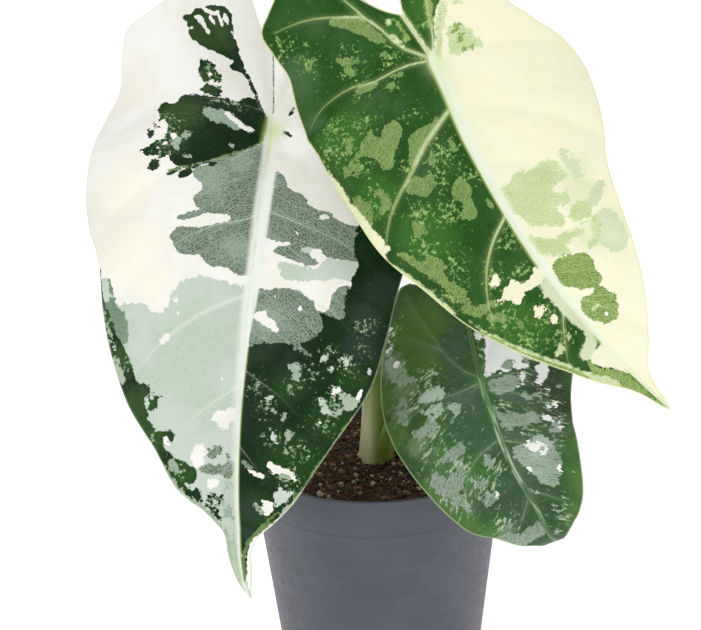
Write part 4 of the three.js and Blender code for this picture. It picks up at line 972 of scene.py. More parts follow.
def give_flat_map(mesh, u, v):
    """A UV map that holds the flat coordinates, so that a pattern follows the surface."""
    layer = mesh.uv_layers.get("flat") or mesh.uv_layers.new(name="flat")
    corners = np.empty(len(mesh.loops), np.int32)
    mesh.loops.foreach_get("vertex_index", corners)
    layer.data.foreach_set("uv", (np.stack([u, v], 1)[corners] * FLAT_SCALE).astype(np.float32).ravel())


def paint(piece, materials):
    piece.data.materials.clear()
    for material in materials:
        piece.data.materials.append(material)


def finish_piece(piece, materials, node=None):
    paint(piece, materials)
    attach(piece, "root")
    if node:
        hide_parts(node)


# ---- leaf blades


class Blade:
    """The surface of a leaf, from its flat coordinates to its place in space."""

    def __init__(self, shape):
        self.shape = shape
        lengths = chord_lengths(shape["spine"])
        self.knots = lengths - lengths[1]
        self.tip = self.knots[-1]
        self.fused = -shape["sinuses"][0][-1][1]
        self.veins = [(half_width, smooth_chain(points, 13)) for half_width, points in shape["veins"]]

    def frame_at(self, v):
        """Origin, across and outward directions of the blade at v."""
        spine = self.shape["spine"]
        along = direction_at(self.knots, spine, v)
        stops, towards = zip(*self.shape["facing"])
        facing = curve_at(stops, towards, np.clip(v, 0, self.tip))
        across = unit(np.cross(facing, along))
        return curve_at(self.knots, spine, v), across, np.cross(along, across)

    def nearest_vein(self, u, v):
        """Distance, side, share of length and half width of the nearest side vein."""
        best = [np.full(u.shape, FAR), u, u, u]
        for half_width, vein in self.veins:
            other = (*along_chain(u, v, vein), half_width)
            closer = other[0] < best[0]
            best = [np.where(closer, b, a) for a, b in zip(best, other)]
        return best

    def height_at(self, u, v, vein):
        """Height of the upper side over the flat strip at the midrib."""
        shape = self.shape
        side = (u > 0).astype(int)
        share = np.abs(u) / shape["half_width"]
        wave, length, phases = shape["wave"]
        kept = 1 - np.clip((v - shape.get("level_from", self.tip)) / LEVEL_OVER, 0, 1)
        roll = np.array(shape["fold"])[side] * np.abs(u) * kept
        roll = roll - np.array(shape["curl"])[side] * shape["half_width"] * share**3
        ripple = wave * np.sin(2 * np.pi * v / length + np.array(phases)[side])
        nearest = np.minimum(vein, np.abs(u))
        width = CHANNEL.width * shape["half_width"]
        channel = CHANNEL.depth * shape["half_width"] * bell(nearest, width)
        return roll + ripple * share**2 - channel * kept

    def detail_at(self, u, v, vein, edge):
        """The finer relief: creases along the veins, and tissue puffed up between them."""
        crease = CREASE.depth * bell(vein, CREASE.width)
        between = 1 - bell(np.minimum(vein, np.abs(u)), PUFF.clear_of_veins)
        swell = PUFF.swell * noise_over(u, v, PUFF.swells_per_mm, 4.2)
        pebble = PUFF.pebble * noise_over(u, v, PUFF.pebbles_per_mm, 9.1)
        puff = self.shape["puff"] * between * (swell + pebble)
        return (puff - crease) * np.clip(edge / PUFF.flat_rim, 0, 1)

    def point_at(self, u, v, detail=0.0):
        origin, across, out = self.frame_at(v)
        height = self.height_at(u, v, self.nearest_vein(u, v)[0]) + detail
        return origin + across * u[:, None] + out * height[:, None]

    def thickness_at(self, u, v, vein, edge):
        """Thickness of the blade, with its keel below the midrib, its ribs and the pad on the stalk."""
        fade = np.clip(1 - v / self.tip, THICKNESS.keel_at_tip, 1)
        keel = np.where(v > -self.fused, THICKNESS.keel * fade * bell(u, THICKNESS.keel_width), 0)
        rib = THICKNESS.rib * bell(vein, THICKNESS.rib_width)
        rib = rib * np.clip(edge / THICKNESS.rib_ends_over, 0, 1)
        thicker = (THICKNESS.middle - THICKNESS.margin) * np.clip(edge / THICKNESS.thins_over, 0, 1)
        pad = PAD.height * bell(np.hypot(u, v), PAD.width)
        return THICKNESS.margin + thicker + np.maximum(keel, rib) + pad

    def length_beside(self, side):
        """Length of one half along its inner side: down the sinus, and on along the midrib to the tip."""
        return chord_lengths(self.shape["sinuses"][side])[-1] + self.fused + self.tip

    def lobe_share(self, side):
        """The share of that length that lies beside the sinus."""
        return 1 - (self.fused + self.tip) / self.length_beside(side)

    def flat_points(self, side, across, along):
        """Flat coordinates of the shares across and along one half, from its back lobe to the tip."""
        outline = self.shape["outlines"][side]
        sinus = self.shape["sinuses"][side]
        outer = chord_lengths(outline)
        inner = chord_lengths(sinus)
        lobe = self.lobe_share(side)
        start = curve_at(inner, sinus, np.minimum(along / lobe, 1) * inner[-1])
        down = np.clip((along - lobe) / (1 - lobe), 0, 1) * (self.tip + self.fused) - self.fused
        midrib = np.stack([np.zeros(down.shape), down], 1)
        start = np.where((along < lobe)[:, None], start, midrib)
        end = curve_at(outer, outline, outer[-1] * along)
        return start + (end - start) * (across**CROWDING)[:, None]

    def half_grid(self, name, side):
        """A grid for one half with its points' flat coordinates. Its rows meet the other half's."""
        rows = round(self.length_beside(0) / CELL)
        columns = round(1.05 * self.shape["half_width"] / CELL)
        lobe_rows = round(rows * self.lobe_share(0))
        half, across, along = grid(name, columns, rows)
        lobe = self.lobe_share(side)
        row = along * rows
        below = lobe + (row - lobe_rows) / (rows - lobe_rows) * (1 - lobe)
        along = np.where(row <= lobe_rows, row / lobe_rows * lobe, below)
        return half, *self.flat_points(side, across, along).T

    def edge_at(self, side, u, v):
        """Distance from the margin of one half."""
        chains = (self.shape["outlines"][side], self.shape["sinuses"][side])
        distances = [along_chain(u, v, smooth_chain(chain, 4 * len(chain)))[0] for chain in chains]
        return np.minimum(*distances)


def tissue_depths(u, v, shape):
    """How deep each point lies in each tissue, and how far the nearest tissue edge frays.

    A ragged marking is kept shallow, so that its fraying also opens holes in the middle of it.
    """
    tissues = {shape["ground"]: np.full(u.shape, DEEP)}
    fray = weight = np.full(u.shape, FRAY["plain"])
    for tissue, ragged, *marking in shape["markings"]:
        depth = depth_inside(u, v, marking)
        if ragged > 1:
            depth = np.minimum(depth, FRAY["lace_depth"])
        for other in tissues:
            if other != tissue:
                tissues[other] = np.minimum(tissues[other], -depth)
        tissues[tissue] = np.maximum(tissues.get(tissue, np.full(u.shape, -DEEP)), depth)
        near = bell(depth, FRAY["reach"] + ragged)
        fray = fray + ragged * near
        weight = weight + near
    return tissues, fray / weight


def spots_at(u, v, spots):
    """From 0 to 1, falling off round the centre of each spot over its radius."""
    return np.max([bell(np.hypot(u - a, v - b), radius) for a, b, radius in spots], axis=0)


def midrib_at(u, v, shape):
    """Above 0 on the midrib and below it beside, in units of the softness of the nearer edge."""
    stops, left, left_softness, right, right_softness = (np.array(c) for c in zip(*shape["midrib"]))
    from_left = (u - np.interp(v, stops, left)) / np.interp(v, stops, left_softness)
    from_right = (np.interp(v, stops, right) - u) / np.interp(v, stops, right_softness)
    return np.minimum(from_left, from_right)


def junction_at(u, v, shape):
    """The glow where the stalk meets the blade, drawn out a little way down the midrib."""
    round_glow = bell(np.hypot(u, v - GLOW.centre), shape["junction"][0])
    line = GLOW.line * bell(u, GLOW.line_width) * bell(v - GLOW.line_centre, GLOW.line_length)
    return np.maximum(round_glow, line)


def blade_values(blade, u, v, nearest_vein, edge):
    """All that the leaf's materials and its thickness need to know at each point, by name."""
    shape = blade.shape
    vein, vein_side, vein_share, vein_width = nearest_vein
    tissues, fray = tissue_depths(u, v, shape)
    values = {
        "flat_u": u,
        "flat_v": v,
        "edge": edge,
        "vein": vein * vein_side / (vein_width * (1 - VEIN.taper * vein_share)),
        "vein_near": np.clip(1 - vein / VEIN.reach, 0, 1) * (1 - VEIN.fade * vein_share**2),
        "midrib": midrib_at(u, v, shape),
        "slit": np.abs(u - shape["slit"]) + np.clip(v + shape["slit_end"], 0, SLIT_ENDS_OVER),
        "junction": junction_at(u, v, shape),
        "flecked": spots_at(u, v, shape["flecked"]),
        "fray": fray,
        "thickness": blade.thickness_at(u, v, vein, edge),
    }
    for index, (_, _, spots) in enumerate(shape["tones"]):
        values[f"tone_{index}"] = spots_at(u, v, spots)
    for tissue, depth in tissues.items():
        values[tissue] = np.clip(depth, -DEPTH_LIMIT, DEPTH_LIMIT)
    return values


def half_blade(name, blade, side):
    half, u, v = blade.half_grid(name, side)
    edge = blade.edge_at(side, u, v)
    nearest_vein = blade.nearest_vein(u, v)
    move_points(half.data, blade.point_at(u, v, blade.detail_at(u, v, nearest_vein[0], edge)))
    for value_name, values in blade_values(blade, u, v, nearest_vein, edge).items():
        give_value(half.data, value_name, values)
    if side:
        edit(half, flip)
    return half


def thicken(piece):
    """Lets Solidify give a blade its own thickness at each point, below its upper side."""
    thickness = values_of(piece.data, "thickness")
    thickest = thickness.max()
    group = piece.vertex_groups.new(name="thickness")
    for index, share in enumerate(thickness / thickest):
        group.add([index], float(share), "REPLACE")
    solid = piece.modifiers.new("thickness", "SOLIDIFY")
    solid.thickness = thickest * MM
    solid.offset = -1
    solid.vertex_group = "thickness"
    solid.material_offset = 1
    solid.material_offset_rim = 2


def blade_piece(name, blade):
    piece = join(name, [half_blade(name, blade, side) for side in (0, 1)])
    edit(piece, weld)
    give_flat_map(piece.data, values_of(piece.data, "flat_u"), values_of(piece.data, "flat_v"))
    thicken(piece)
    return piece


# ---- petioles


def stalk_length(path, knots, blade):
    """How far the stalk runs along its path before its end is inside the pad under the blade."""
    junction = np.zeros(1)
    _, _, out = blade.frame_at(junction)
    pad = blade.point_at(junction, junction)[0]
    trial = np.linspace(0.5, 1, 400) * knots[-1]
    inside = (curve_at(knots, path, trial) - pad) @ out[0] > -STALK.below_pad
    return trial[np.argmax(inside)] if inside.any() else knots[-1]


def finish_tube(piece, round_share, girth, along):
    """Gives a tube its flat map, closes it and turns its faces outwards."""
    give_flat_map(piece.data, round_share * girth, along)
    edit(piece, weld, close_ends, face_outwards)
    smooth(piece)


def petiole_piece(name, shape, blade):
    """A tapering stalk with a groove along its front, from the rootstock into the pad under the blade."""
    path = shape["petiole"]["path"]
    wide, narrow = shape["petiole"]["radii"]
    knots = chord_lengths(path)
    length = stalk_length(path, knots, blade)
    piece, round_share, along_share = grid(name, STALK.sides, round(length / STALK.step))
    t = along_share * length
    along = direction_at(knots, path, t)
    right = unit(np.array([1.0, 0, 0]) - along * along[:, :1])
    front = np.cross(right, along)
    sheath = np.exp(-t / (length * STALK.sheath_reach))
    taper = STALK.sheath_share * sheath + (1 - STALK.sheath_share) * (1 - t / length)
    flare = 1 + STALK.flare * bell(length - t, STALK.flare_length)
    radius = (narrow + (wide - narrow) * taper) * flare
    angle = 2 * np.pi * round_share
    hollow = STALK.groove * bell(1 - np.sin(angle), STALK.groove_width) * (1 - sheath)
    ridges = STALK.ridge * np.sin(STALK.ridges * angle + STALK.ridge_twist * t)
    ridges = ridges * (1 - bell(t, STALK.ridges_start))
    spoke = right * np.cos(angle)[:, None] + front * np.sin(angle)[:, None]
    move_points(piece.data, curve_at(knots, path, t) + spoke * (radius * (1 - hollow + ridges))[:, None])
    finish_tube(piece, round_share, STALK.girth, t)
    return piece


def sheath_piece():
    """A smooth tapering sheath, a little fuller than the stalks it holds together."""
    piece, round_share, along = grid("stalk_sheath", 48, 40)
    heights, centres, widths, depths = zip(*SHEATH)
    z = heights[0] + along * (heights[-1] - heights[0])
    centre = curve_at(heights, centres, z)
    size = curve_at(heights, list(zip(widths, depths)), z)
    angle = 2 * np.pi * round_share
    x = centre[:, 0] + size[:, 0] * np.cos(angle)
    y = centre[:, 1] - size[:, 1] * np.sin(angle)
    move_points(piece.data, np.stack([x, y, z], 1))
    finish_tube(piece, round_share, SHEATH_GIRTH, z)
    return piece


# ---- pot


def pot_radius(z):
    return POT.rim_radius - POT.slope * (POT.height - z)


def pot_profile():
    """The wall's section as (radius, height), from the middle of the floor round the rim and back."""
    height, wall, step, arch = POT.height, POT.wall, POT.collar_step, POT.arch
    collar = height - POT.collar
    foot = pot_radius(0)
    inside = height - POT.lip_depth
    return [
        (POT.disc_radius, 0),
        (POT.disc_radius + POT.ramp, arch),
        (foot - POT.foot_width - POT.ramp, arch),
        (foot - POT.foot_width, 0),
        (foot, 0),
        (pot_radius(collar) - step, collar - step),
        (pot_radius(collar), collar + step),
        (pot_radius(height), height),
        (pot_radius(height) - POT.lip, height),
        (pot_radius(inside) - wall, inside),
        (pot_radius(arch) - wall, arch + POT.floor),
        (POT.disc_radius, arch + POT.floor),
        (POT.disc_radius - POT.ramp, POT.floor),
    ]


def turned(name, profile, sides):
    """Raises a circle ring by ring through a profile, and closes both ends on the axis."""
    radius, z = profile[0]
    bpy.ops.mesh.primitive_circle_add(vertices=sides, radius=radius * MM, location=(0, 0, z * MM))
    piece = bpy.context.object
    piece.name = name
    piece.data.name = name
    bpy.ops.object.mode_set(mode="EDIT")
    bpy.ops.mesh.select_all(action="SELECT")
    for (r, z), (next_r, next_z) in zip(profile, profile[1:]):
        bpy.ops.mesh.extrude_edges_move(TRANSFORM_OT_translate={"value": (0, 0, (next_z - z) * MM)})
        share = next_r / r
        bpy.ops.transform.resize(value=(share, share, 1), center_override=(0, 0, next_z * MM))
    bpy.ops.object.mode_set(mode="OBJECT")
    piece.select_set(True)
    bpy.ops.object.transform_apply(location=True, rotation=True, scale=True)
    edit(piece, close_ends, face_outwards)
    return piece


def drill(pot, x, y):
    """Bores one drain hole through the pot's floor."""
    bpy.ops.mesh.primitive_cylinder_add(
        vertices=32,
        radius=POT.drain_radius * MM,
        depth=POT.drill_length * MM,
        location=(x * MM, y * MM, 0),
    )
    bit = bpy.context.object
    hole = pot.modifiers.new("drain", "BOOLEAN")
    hole.object = bit
    hole.solver = "EXACT"
    apply_modifiers(pot)
    bpy.data.objects.remove(bit)


def pot_piece():
    pot = turned("pot_shell", pot_profile(), POT.sides)
    rounding = pot.modifiers.new("rounding", "BEVEL")
    rounding.width = POT.rounding * MM
    rounding.segments = 3
    rounding.limit_method = "ANGLE"
    rounding.angle_limit = math.radians(25)
    apply_modifiers(pot)
    for i in range(POT.drains):
        angle = 2 * math.pi * (i + 0.5) / POT.drains
        drill(pot, POT.drain_circle * math.cos(angle), POT.drain_circle * math.sin(angle))
    smooth(pot, 30)
    return pot


# ---- potting mix


def soil_height(r):
    """Height of the smooth, slightly domed top of the mix."""
    share = np.clip(r / (pot_radius(POT.height) - POT.lip), 0, 1)
    fall = (SOIL.edge_below_rim - SOIL.centre_below_rim) * share**1.4
    return POT.height - SOIL.centre_below_rim - fall


def ground_at(x, y):
    """Height of the mix with its clods, crumbs and grit, each with rounded tops."""
    clods = CLODS.height * noise_over(x, y, CLODS.per_mm, 1.7)
    crumbs = CRUMBS.height * np.abs(noise_over(x, y, CRUMBS.per_mm, 5.3))
    grit = GRIT.height * noise_over(x, y, GRIT.per_mm, 8.8)
    return soil_height(np.hypot(x, y)) + clods + crumbs + grit - SOIL.settled


def soil_piece():
    """The body of potting mix: a rough top, a side against the pot's wall, and a flat bottom."""
    piece, round_share, along = grid("potting_mix_body", 220, 96)
    angle = 2 * np.pi * round_share
    top_share, side_share = 0.9, 2 / 3
    rest = np.clip((along - top_share) / (1 - top_share), 0, 1)
    down = np.clip(rest / side_share, 0, 1)
    inwards = np.clip((1 - rest) / (1 - side_share), 0, 1)
    lower = POT.height - SOIL.edge_below_rim - SOIL.depth * down
    top_radius = pot_radius(POT.height) - POT.wall - SOIL.top_gap
    side_radius = pot_radius(lower) - POT.wall - SOIL.side_gap
    on_top = along <= top_share
    r = np.where(on_top, np.clip(along / top_share, 0, 1) * top_radius, side_radius * inwards)
    x, y = r * np.cos(angle), r * np.sin(angle)
    move_points(piece.data, np.stack([x, y, np.where(on_top, ground_at(x, y), lower)], 1))
    edit(piece, weld, face_outwards)
    smooth(piece, 70)
    return piece


def scattered(name, count, seed, sizes, flatness, roundness):
    """Small lumps strewn over the soil: one rough ball, copied at random sizes and turns."""
    bpy.ops.mesh.primitive_ico_sphere_add(subdivisions=roundness, radius=1)
    ball = bpy.context.object
    points = coordinates(ball.data)
    triangles = np.array([list(p.vertices) for p in ball.data.polygons])
    bpy.data.objects.remove(ball)
    draw = random.Random(seed)
    all_points = []
    all_triangles = []
    for _ in range(count):
        x, y = place_on_soil(draw, LUMP_RING)
        size = draw.uniform(*sizes) / 2
        stretch = np.array([draw.uniform(0.7, 1.3), draw.uniform(0.6, 1.1), draw.uniform(0.7, 1.2)])
        stretch[2] *= flatness
        bumps = np.array([1 + draw.uniform(-0.22, 0.22) for _ in points])[:, None]
        spin = Matrix.Rotation(draw.uniform(0, 6.3), 3, "Z")
        turn = spin @ Matrix.Rotation(draw.uniform(-0.6, 0.6), 3, "X")
        lump = (points * bumps * stretch * size) @ np.array(turn).T
        z = ground_at([x], [y])[0] + size * flatness * 0.35
        all_triangles.append(triangles + len(points) * len(all_points))
        all_points.append(lump + np.array([x, y, z]))
    piece = piece_of(name, np.concatenate(all_points), np.concatenate(all_triangles).tolist())
    smooth(piece, 40)
    return piece


def place_on_soil(draw, ring):
    """A random place between two radii, as likely in one spot as in another."""
    r = math.sqrt(draw.uniform(ring[0] ** 2, ring[1] ** 2))
    angle = draw.uniform(0, 2 * math.pi)
    return r * math.cos(angle), r * math.sin(angle)


def fibre_points(draw):
    """The points of one thin bent stick that lies on the soil, ring by ring."""
    x, y = place_on_soil(draw, FIBRE.ring)
    heading = draw.uniform(0, 2 * math.pi)
    bend = draw.uniform(-0.35, 0.35)
    step = draw.uniform(*FIBRE.lengths) / FIBRE.steps
    radius = draw.uniform(0.1, 0.24)
    points = []
    for joint in range(FIBRE.steps + 1):
        inside = FIBRE.limit / max(FIBRE.limit, math.hypot(x, y))
        px, py = x * inside, y * inside
        arch = 0.9 * math.sin(math.pi * joint / FIBRE.steps) * draw.uniform(0.4, 1.2)
        z = ground_at([px], [py])[0] + 0.5 + arch
        taper = radius * (0.35 if joint in (0, FIBRE.steps) else 1)
        for across, up in ((1, 0), (0, 1), (-1, 0), (0, -1)):
            aside = across * taper
            points.append((px - math.sin(heading) * aside, py + math.cos(heading) * aside, z + up * taper))
        heading += bend
        x += math.cos(heading) * step
        y += math.sin(heading) * step
    return points


def fibres_piece(name, count, seed):
    """Fine coir and root fibres, each a stick of four sides."""
    draw = random.Random(seed)
    points = []
    faces = []
    for _ in range(count):
        first = len(points)
        points += fibre_points(draw)
        last = len(points) - 4
        faces += [(first + 3, first + 2, first + 1, first), (last, last + 1, last + 2, last + 3)]
        for ring in range(first, last, 4):
            faces += [(ring + k, ring + (k + 1) % 4, ring + 4 + (k + 1) % 4, ring + 4 + k) for k in range(4)]
    piece = piece_of(name, points, faces)
    edit(piece, face_outwards)
    smooth(piece, 60)
    return piece


# ---- shader helpers


def linear(red, green, blue):
    """A colour given in the usual 0 to 255 numbers, as the linear values that Blender wants."""
    shares = [c / 255 / 12.92 if c <= 10 else ((c / 255 + 0.055) / 1.055) ** 2.4 for c in (red, green, blue)]
    return (*shares, 1)


class Nodes:
    """Short ways to add nodes to a node tree and join them. Colours are in the usual 0 to 255 numbers."""

    def __init__(self, tree):
        self.tree = tree

    def add(self, kind, inputs=None, **settings):
        node = self.tree.nodes.new(kind)
        for name, value in settings.items():
            setattr(node, name, value)
        for name, value in (inputs or {}).items():
            self.feed(node.inputs[name], value)
        return node

    def feed(self, socket, value):
        if isinstance(value, bpy.types.NodeSocket):
            self.tree.links.new(value, socket)
        elif socket.type == "RGBA":
            socket.default_value = linear(*value)
        else:
            socket.default_value = value

    def math(self, operation, *values, clamp=False):
        inputs = dict(enumerate(values))
        return self.add("ShaderNodeMath", inputs, operation=operation, use_clamp=clamp).outputs[0]

    def times(self, a, b):
        return self.math("MULTIPLY", a, b)

    def vector(self, operation, a, b):
        key = "Scale" if operation == "SCALE" else 1
        return self.add("ShaderNodeVectorMath", {0: a, key: b}, operation=operation).outputs[0]

    def split(self, place):
        return self.add("ShaderNodeSeparateXYZ", {0: place}).outputs

    def ramp(self, value, low, high, start=0.0, end=1.0):
        """start below low, end above high, with a smooth step between them."""
        inputs = {"Value": value, "From Min": low, "From Max": high, "To Min": start, "To Max": end}
        return self.add("ShaderNodeMapRange", inputs, interpolation_type="SMOOTHSTEP").outputs[0]

    def mix(self, share, a, b):
        return self.add("ShaderNodeMix", {0: share, 6: a, 7: b}, data_type="RGBA").outputs[2]

    def value(self, name):
        return self.add("ShaderNodeAttribute", attribute_name=name).outputs["Fac"]

    def noise(self, place, size, detail=2.0, roughness=0.5, part="Fac"):
        """Noise with features of the given size, in the units of place."""
        inputs = {"Vector": place, "Scale": 1 / size, "Detail": detail, "Roughness": roughness}
        return self.add("ShaderNodeTexNoise", inputs).outputs[part]

    def group(self, tree, **inputs):
        node = self.add("ShaderNodeGroup", node_tree=tree)
        for name, value in inputs.items():
            self.feed(node.inputs[name.replace("_", " ")], value)
        return node.outputs

    def mottled(self, ground, other, place, size):
        return self.group(MOTTLE, Colour=ground, Other=other, Place=place, Size=size)["Colour"]

    def surface(self, skin, shade, roughness, shine):
        self.feed(skin["Base Color"], shade)
        self.feed(skin["Roughness"], roughness)
        skin["Specular IOR Level"].default_value = shine

    def relief(self, skin, height, strength, depth):
        """Fine relief, as deep as depth says in millimetres."""
        inputs = {"Height": height, "Strength": strength, "Distance": depth * MM}
        self.feed(skin["Normal"], self.add("ShaderNodeBump", inputs).outputs[0])


def new_group(name, inputs, outputs):
    """An empty shader group with named sockets: (name, kind, default) and (name, kind)."""
    kinds = {"value": "NodeSocketFloat", "colour": "NodeSocketColor", "place": "NodeSocketVector"}
    tree = bpy.data.node_groups.new(name, "ShaderNodeTree")
    for label, kind, default in inputs:
        socket = tree.interface.new_socket(label, in_out="INPUT", socket_type=kinds[kind])
        socket.default_value = default
    for label, kind in outputs:
        tree.interface.new_socket(label, in_out="OUTPUT", socket_type=kinds[kind])
    nodes = Nodes(tree)
    return tree, nodes, nodes.add("NodeGroupInput").outputs, nodes.add("NodeGroupOutput").inputs


def new_material(name):
    material = bpy.data.materials.new(name)
    material.use_nodes = True
    skin = material.node_tree.nodes["Principled BSDF"]
    return material, Nodes(material.node_tree), skin.inputs


def flat_place(nodes):
    """Place on the piece's own flat map in millimetres, raised so that noise shows no grid there."""
    flat = nodes.vector("SCALE", nodes.add("ShaderNodeUVMap", uv_map="flat").outputs[0], 1 / FLAT_SCALE)
    return nodes.vector("ADD", flat, (0.0, 0.0, 7.3))


def object_place(nodes):
    """Place on the object in millimetres."""
    return nodes.vector("SCALE", nodes.add("ShaderNodeTexCoord").outputs["Object"], 1 / MM)


# ---- shader groups


def tissue_layer_group():
    """Lays one tissue over what is there already, wherever it lies deeper than that does."""
    tree, nodes, given, out = new_group(
        "lay tissue over",
        [("Colour", "colour", (1, 1, 1, 1)), ("Depth", "value", 0), ("New colour", "colour", (1, 1, 1, 1)),
         ("New depth", "value", 0), ("Softness", "value", 0.12)],
        [("Colour", "colour"), ("Depth", "value")],
    )
    lead = nodes.math("SUBTRACT", given["New depth"], given["Depth"])
    share = nodes.math("ADD", nodes.math("DIVIDE", lead, given["Softness"]), 0.5, clamp=True)
    nodes.feed(out["Colour"], nodes.mix(share, given["Colour"], given["New colour"]))
    nodes.feed(out["Depth"], nodes.math("MAXIMUM", given["Depth"], given["New depth"]))
    return tree


def vein_net_group():
    """The finest veins: nearly parallel lines that slant outwards from the midrib, joined by cross veins.

    Lines is how much of a vein there is, Cells is higher between the veins, and Areole has a colour of
    its own for each cell of the net.
    """
    tree, nodes, given, out = new_group(
        "vein net",
        [("Flat", "place", (0, 0, 0)), ("Slope", "value", 0.65), ("Pitch", "value", 1.35),
         ("Minor", "value", 6.5)],
        [("Lines", "value"), ("Cells", "value"), ("Areole", "colour")],
    )
    flat = given["Flat"]
    split = nodes.split(flat)
    down = nodes.math("SUBTRACT", split[1], nodes.times(nodes.math("ABSOLUTE", split[0]), given["Slope"]))
    down = nodes.math("MULTIPLY_ADD", nodes.noise(flat, 14, 1), 6.0, down)
    row = nodes.math("DIVIDE", down, given["Pitch"])
    waver = nodes.noise(flat, 1.6, 1)
    strand = nodes.math("PINGPONG", nodes.math("MULTIPLY_ADD", waver, 0.75, row), 0.5)
    broken = nodes.ramp(nodes.noise(flat, 1.1, 2), 0.3, 0.55, 0.35, 1)
    strands = nodes.times(nodes.ramp(strand, 0.03, 0.18, 1, 0), broken)
    minor = nodes.math("MULTIPLY_ADD", waver, 0.12, nodes.math("DIVIDE", down, given["Minor"]))
    minors = nodes.ramp(nodes.math("PINGPONG", minor, 0.5), 0.01, 0.055, 0.8, 0)
    grain = nodes.ramp(nodes.noise(flat, 0.7, 3), 0.45, 0.65, 0, 0.5)
    place = nodes.add("ShaderNodeCombineXYZ", {0: nodes.math("DIVIDE", split[0], 1.25), 1: row}).outputs[0]
    mesh = nodes.add("ShaderNodeTexVoronoi", {"Vector": place, "Scale": 1.0}, feature="DISTANCE_TO_EDGE")
    cross = nodes.ramp(mesh.outputs["Distance"], 0.02, 0.13, 0.85, 0)
    bumps = nodes.vector("ADD", flat, nodes.noise(flat, 1.2, 2, part="Color"))
    areoles = nodes.add("ShaderNodeTexVoronoi", {"Vector": bumps, "Scale": 1 / 1.4}, feature="F1")
    nodes.feed(out["Areole"], areoles.outputs["Color"])
    lines = nodes.math("MAXIMUM", nodes.times(strands, 0.9), cross)
    nodes.feed(out["Lines"], nodes.math("MAXIMUM", nodes.math("MAXIMUM", lines, grain), minors))
    nodes.feed(out["Cells"], nodes.ramp(strand, 0.0, 0.4))
    return tree


def mottle_group():
    """Slow light and dark clouds over a colour."""
    tree, nodes, given, out = new_group(
        "mottle",
        [("Colour", "colour", (1, 1, 1, 1)), ("Other", "colour", (1, 1, 1, 1)),
         ("Place", "place", (0, 0, 0)), ("Size", "value", 10),
         ("Low", "value", 0.4), ("High", "value", 0.65)],
        [("Colour", "colour")],
    )
    cloud = nodes.add("ShaderNodeTexNoise", {"Vector": given["Place"], "Detail": 3.0})
    nodes.feed(cloud.inputs["Scale"], nodes.math("DIVIDE", 1.0, given["Size"]))
    share = nodes.ramp(cloud.outputs["Fac"], given["Low"], given["High"])
    nodes.feed(out["Colour"], nodes.mix(share, given["Colour"], given["Other"]))
    return tree


LAY_TISSUE = tissue_layer_group()
VEIN_NET = vein_net_group()
MOTTLE = mottle_group()

# ---- leaf materials


def leaf_material(name, shape, underside=False):
    """A leaf's skin: its tissues, and over them its midrib, the painted shadow in its slit and its margin.
    """
    material, nodes, skin = new_material(name)
    look = shape["look"]
    flat = flat_place(nodes)
    net = nodes.group(VEIN_NET, Flat=flat)
    shade = tissues_laid(nodes, shape, flat, net)
    shade = midrib_over(nodes, shade, shape, flat)
    shade = slit_over(nodes, shade, look, flat)
    shade = nodes.mix(nodes.ramp(nodes.value("edge"), 0.2, 0.8, look["rim"], 0), shade, look["margin"])
    dull = look["roughness"]
    if underside:
        shade = nodes.mix(UNDERSIDE["share"], shade, UNDERSIDE["colour"])
        dull += UNDERSIDE["duller"]
    roughness = nodes.ramp(nodes.noise(flat, 6, 3), 0.3, 0.75, dull - 0.05, dull + 0.09)
    nodes.surface(skin, shade, roughness, look["shine"])
    height = nodes.math("MULTIPLY_ADD", net["Cells"], 0.6, nodes.noise(flat, 0.5, 2))
    nodes.relief(skin, height, 0.28, 0.12)
    return material


def tissues_laid(nodes, shape, flat, net):
    """The tissues laid over one another, each with its tones, flecks, fine veins and side veins."""
    look = shape["look"]
    drawn = drawn_out(nodes, flat, look["lean"], look["stretch"])
    shifts = edge_shifts(nodes, flat, drawn, net["Areole"], nodes.value("fray"))
    near = nodes.value("vein_near")
    vein_line = nodes.ramp(nodes.math("ABSOLUTE", nodes.value("vein")), 0.3, 1.1, 1, 0)
    vein_glow = nodes.times(nodes.math("POWER", near, 2.0), 0.4)
    vein_heart = nodes.ramp(near, 0.75, 1, 0, 0.65)
    vein_line = nodes.math("MAXIMUM", nodes.times(vein_line, near), vein_glow)
    speckle = nodes.noise(drawn, 1.7, 5, 0.75)
    crowd = nodes.math("MULTIPLY_ADD", nodes.value("flecked"), 0.15, speckle)
    sparse = look["sparse"]
    specks = nodes.ramp(crowd, sparse, sparse + 0.03)
    fleck = nodes.mix(nodes.ramp(crowd, sparse + 0.02, sparse + 0.09), look["fleck"], look["bright"])
    shade = depth = None
    for index, (tissue, recipe) in enumerate(shape["tissues"].items()):
        ground, cloud, lines, line_share, softness, vein, vein_share = recipe
        # on the dark tissues, the second ground clouded in here is a painted sheen
        own = nodes.mottled(ground, cloud, flat, 14 + 3 * index)
        own = toned(nodes, own, tissue, shape["tones"], speckle)
        own = nodes.mix(nodes.times(net["Lines"], line_share), own, lines)
        if look["holes"] and tissue in ("sage", "mint"):
            holes = nodes.ramp(speckle, 0.36, 0.44, look["holes"], 0)
            own = nodes.mix(holes, own, shape["tissues"]["dark"][0])
        if tissue == "dark":
            own = nodes.mix(specks, own, fleck)
        own = nodes.mix(nodes.times(vein_line, vein_share), own, nodes.mix(vein_heart, vein, look["rib"]))
        reach = stray(nodes, nodes.value(tissue), shifts, index)
        if shade is None:
            shade, depth = own, reach
        else:
            laid = nodes.group(
                LAY_TISSUE, Colour=shade, Depth=depth, New_colour=own, New_depth=reach, Softness=softness
            )
            shade, depth = laid["Colour"], laid["Depth"]
    return shade


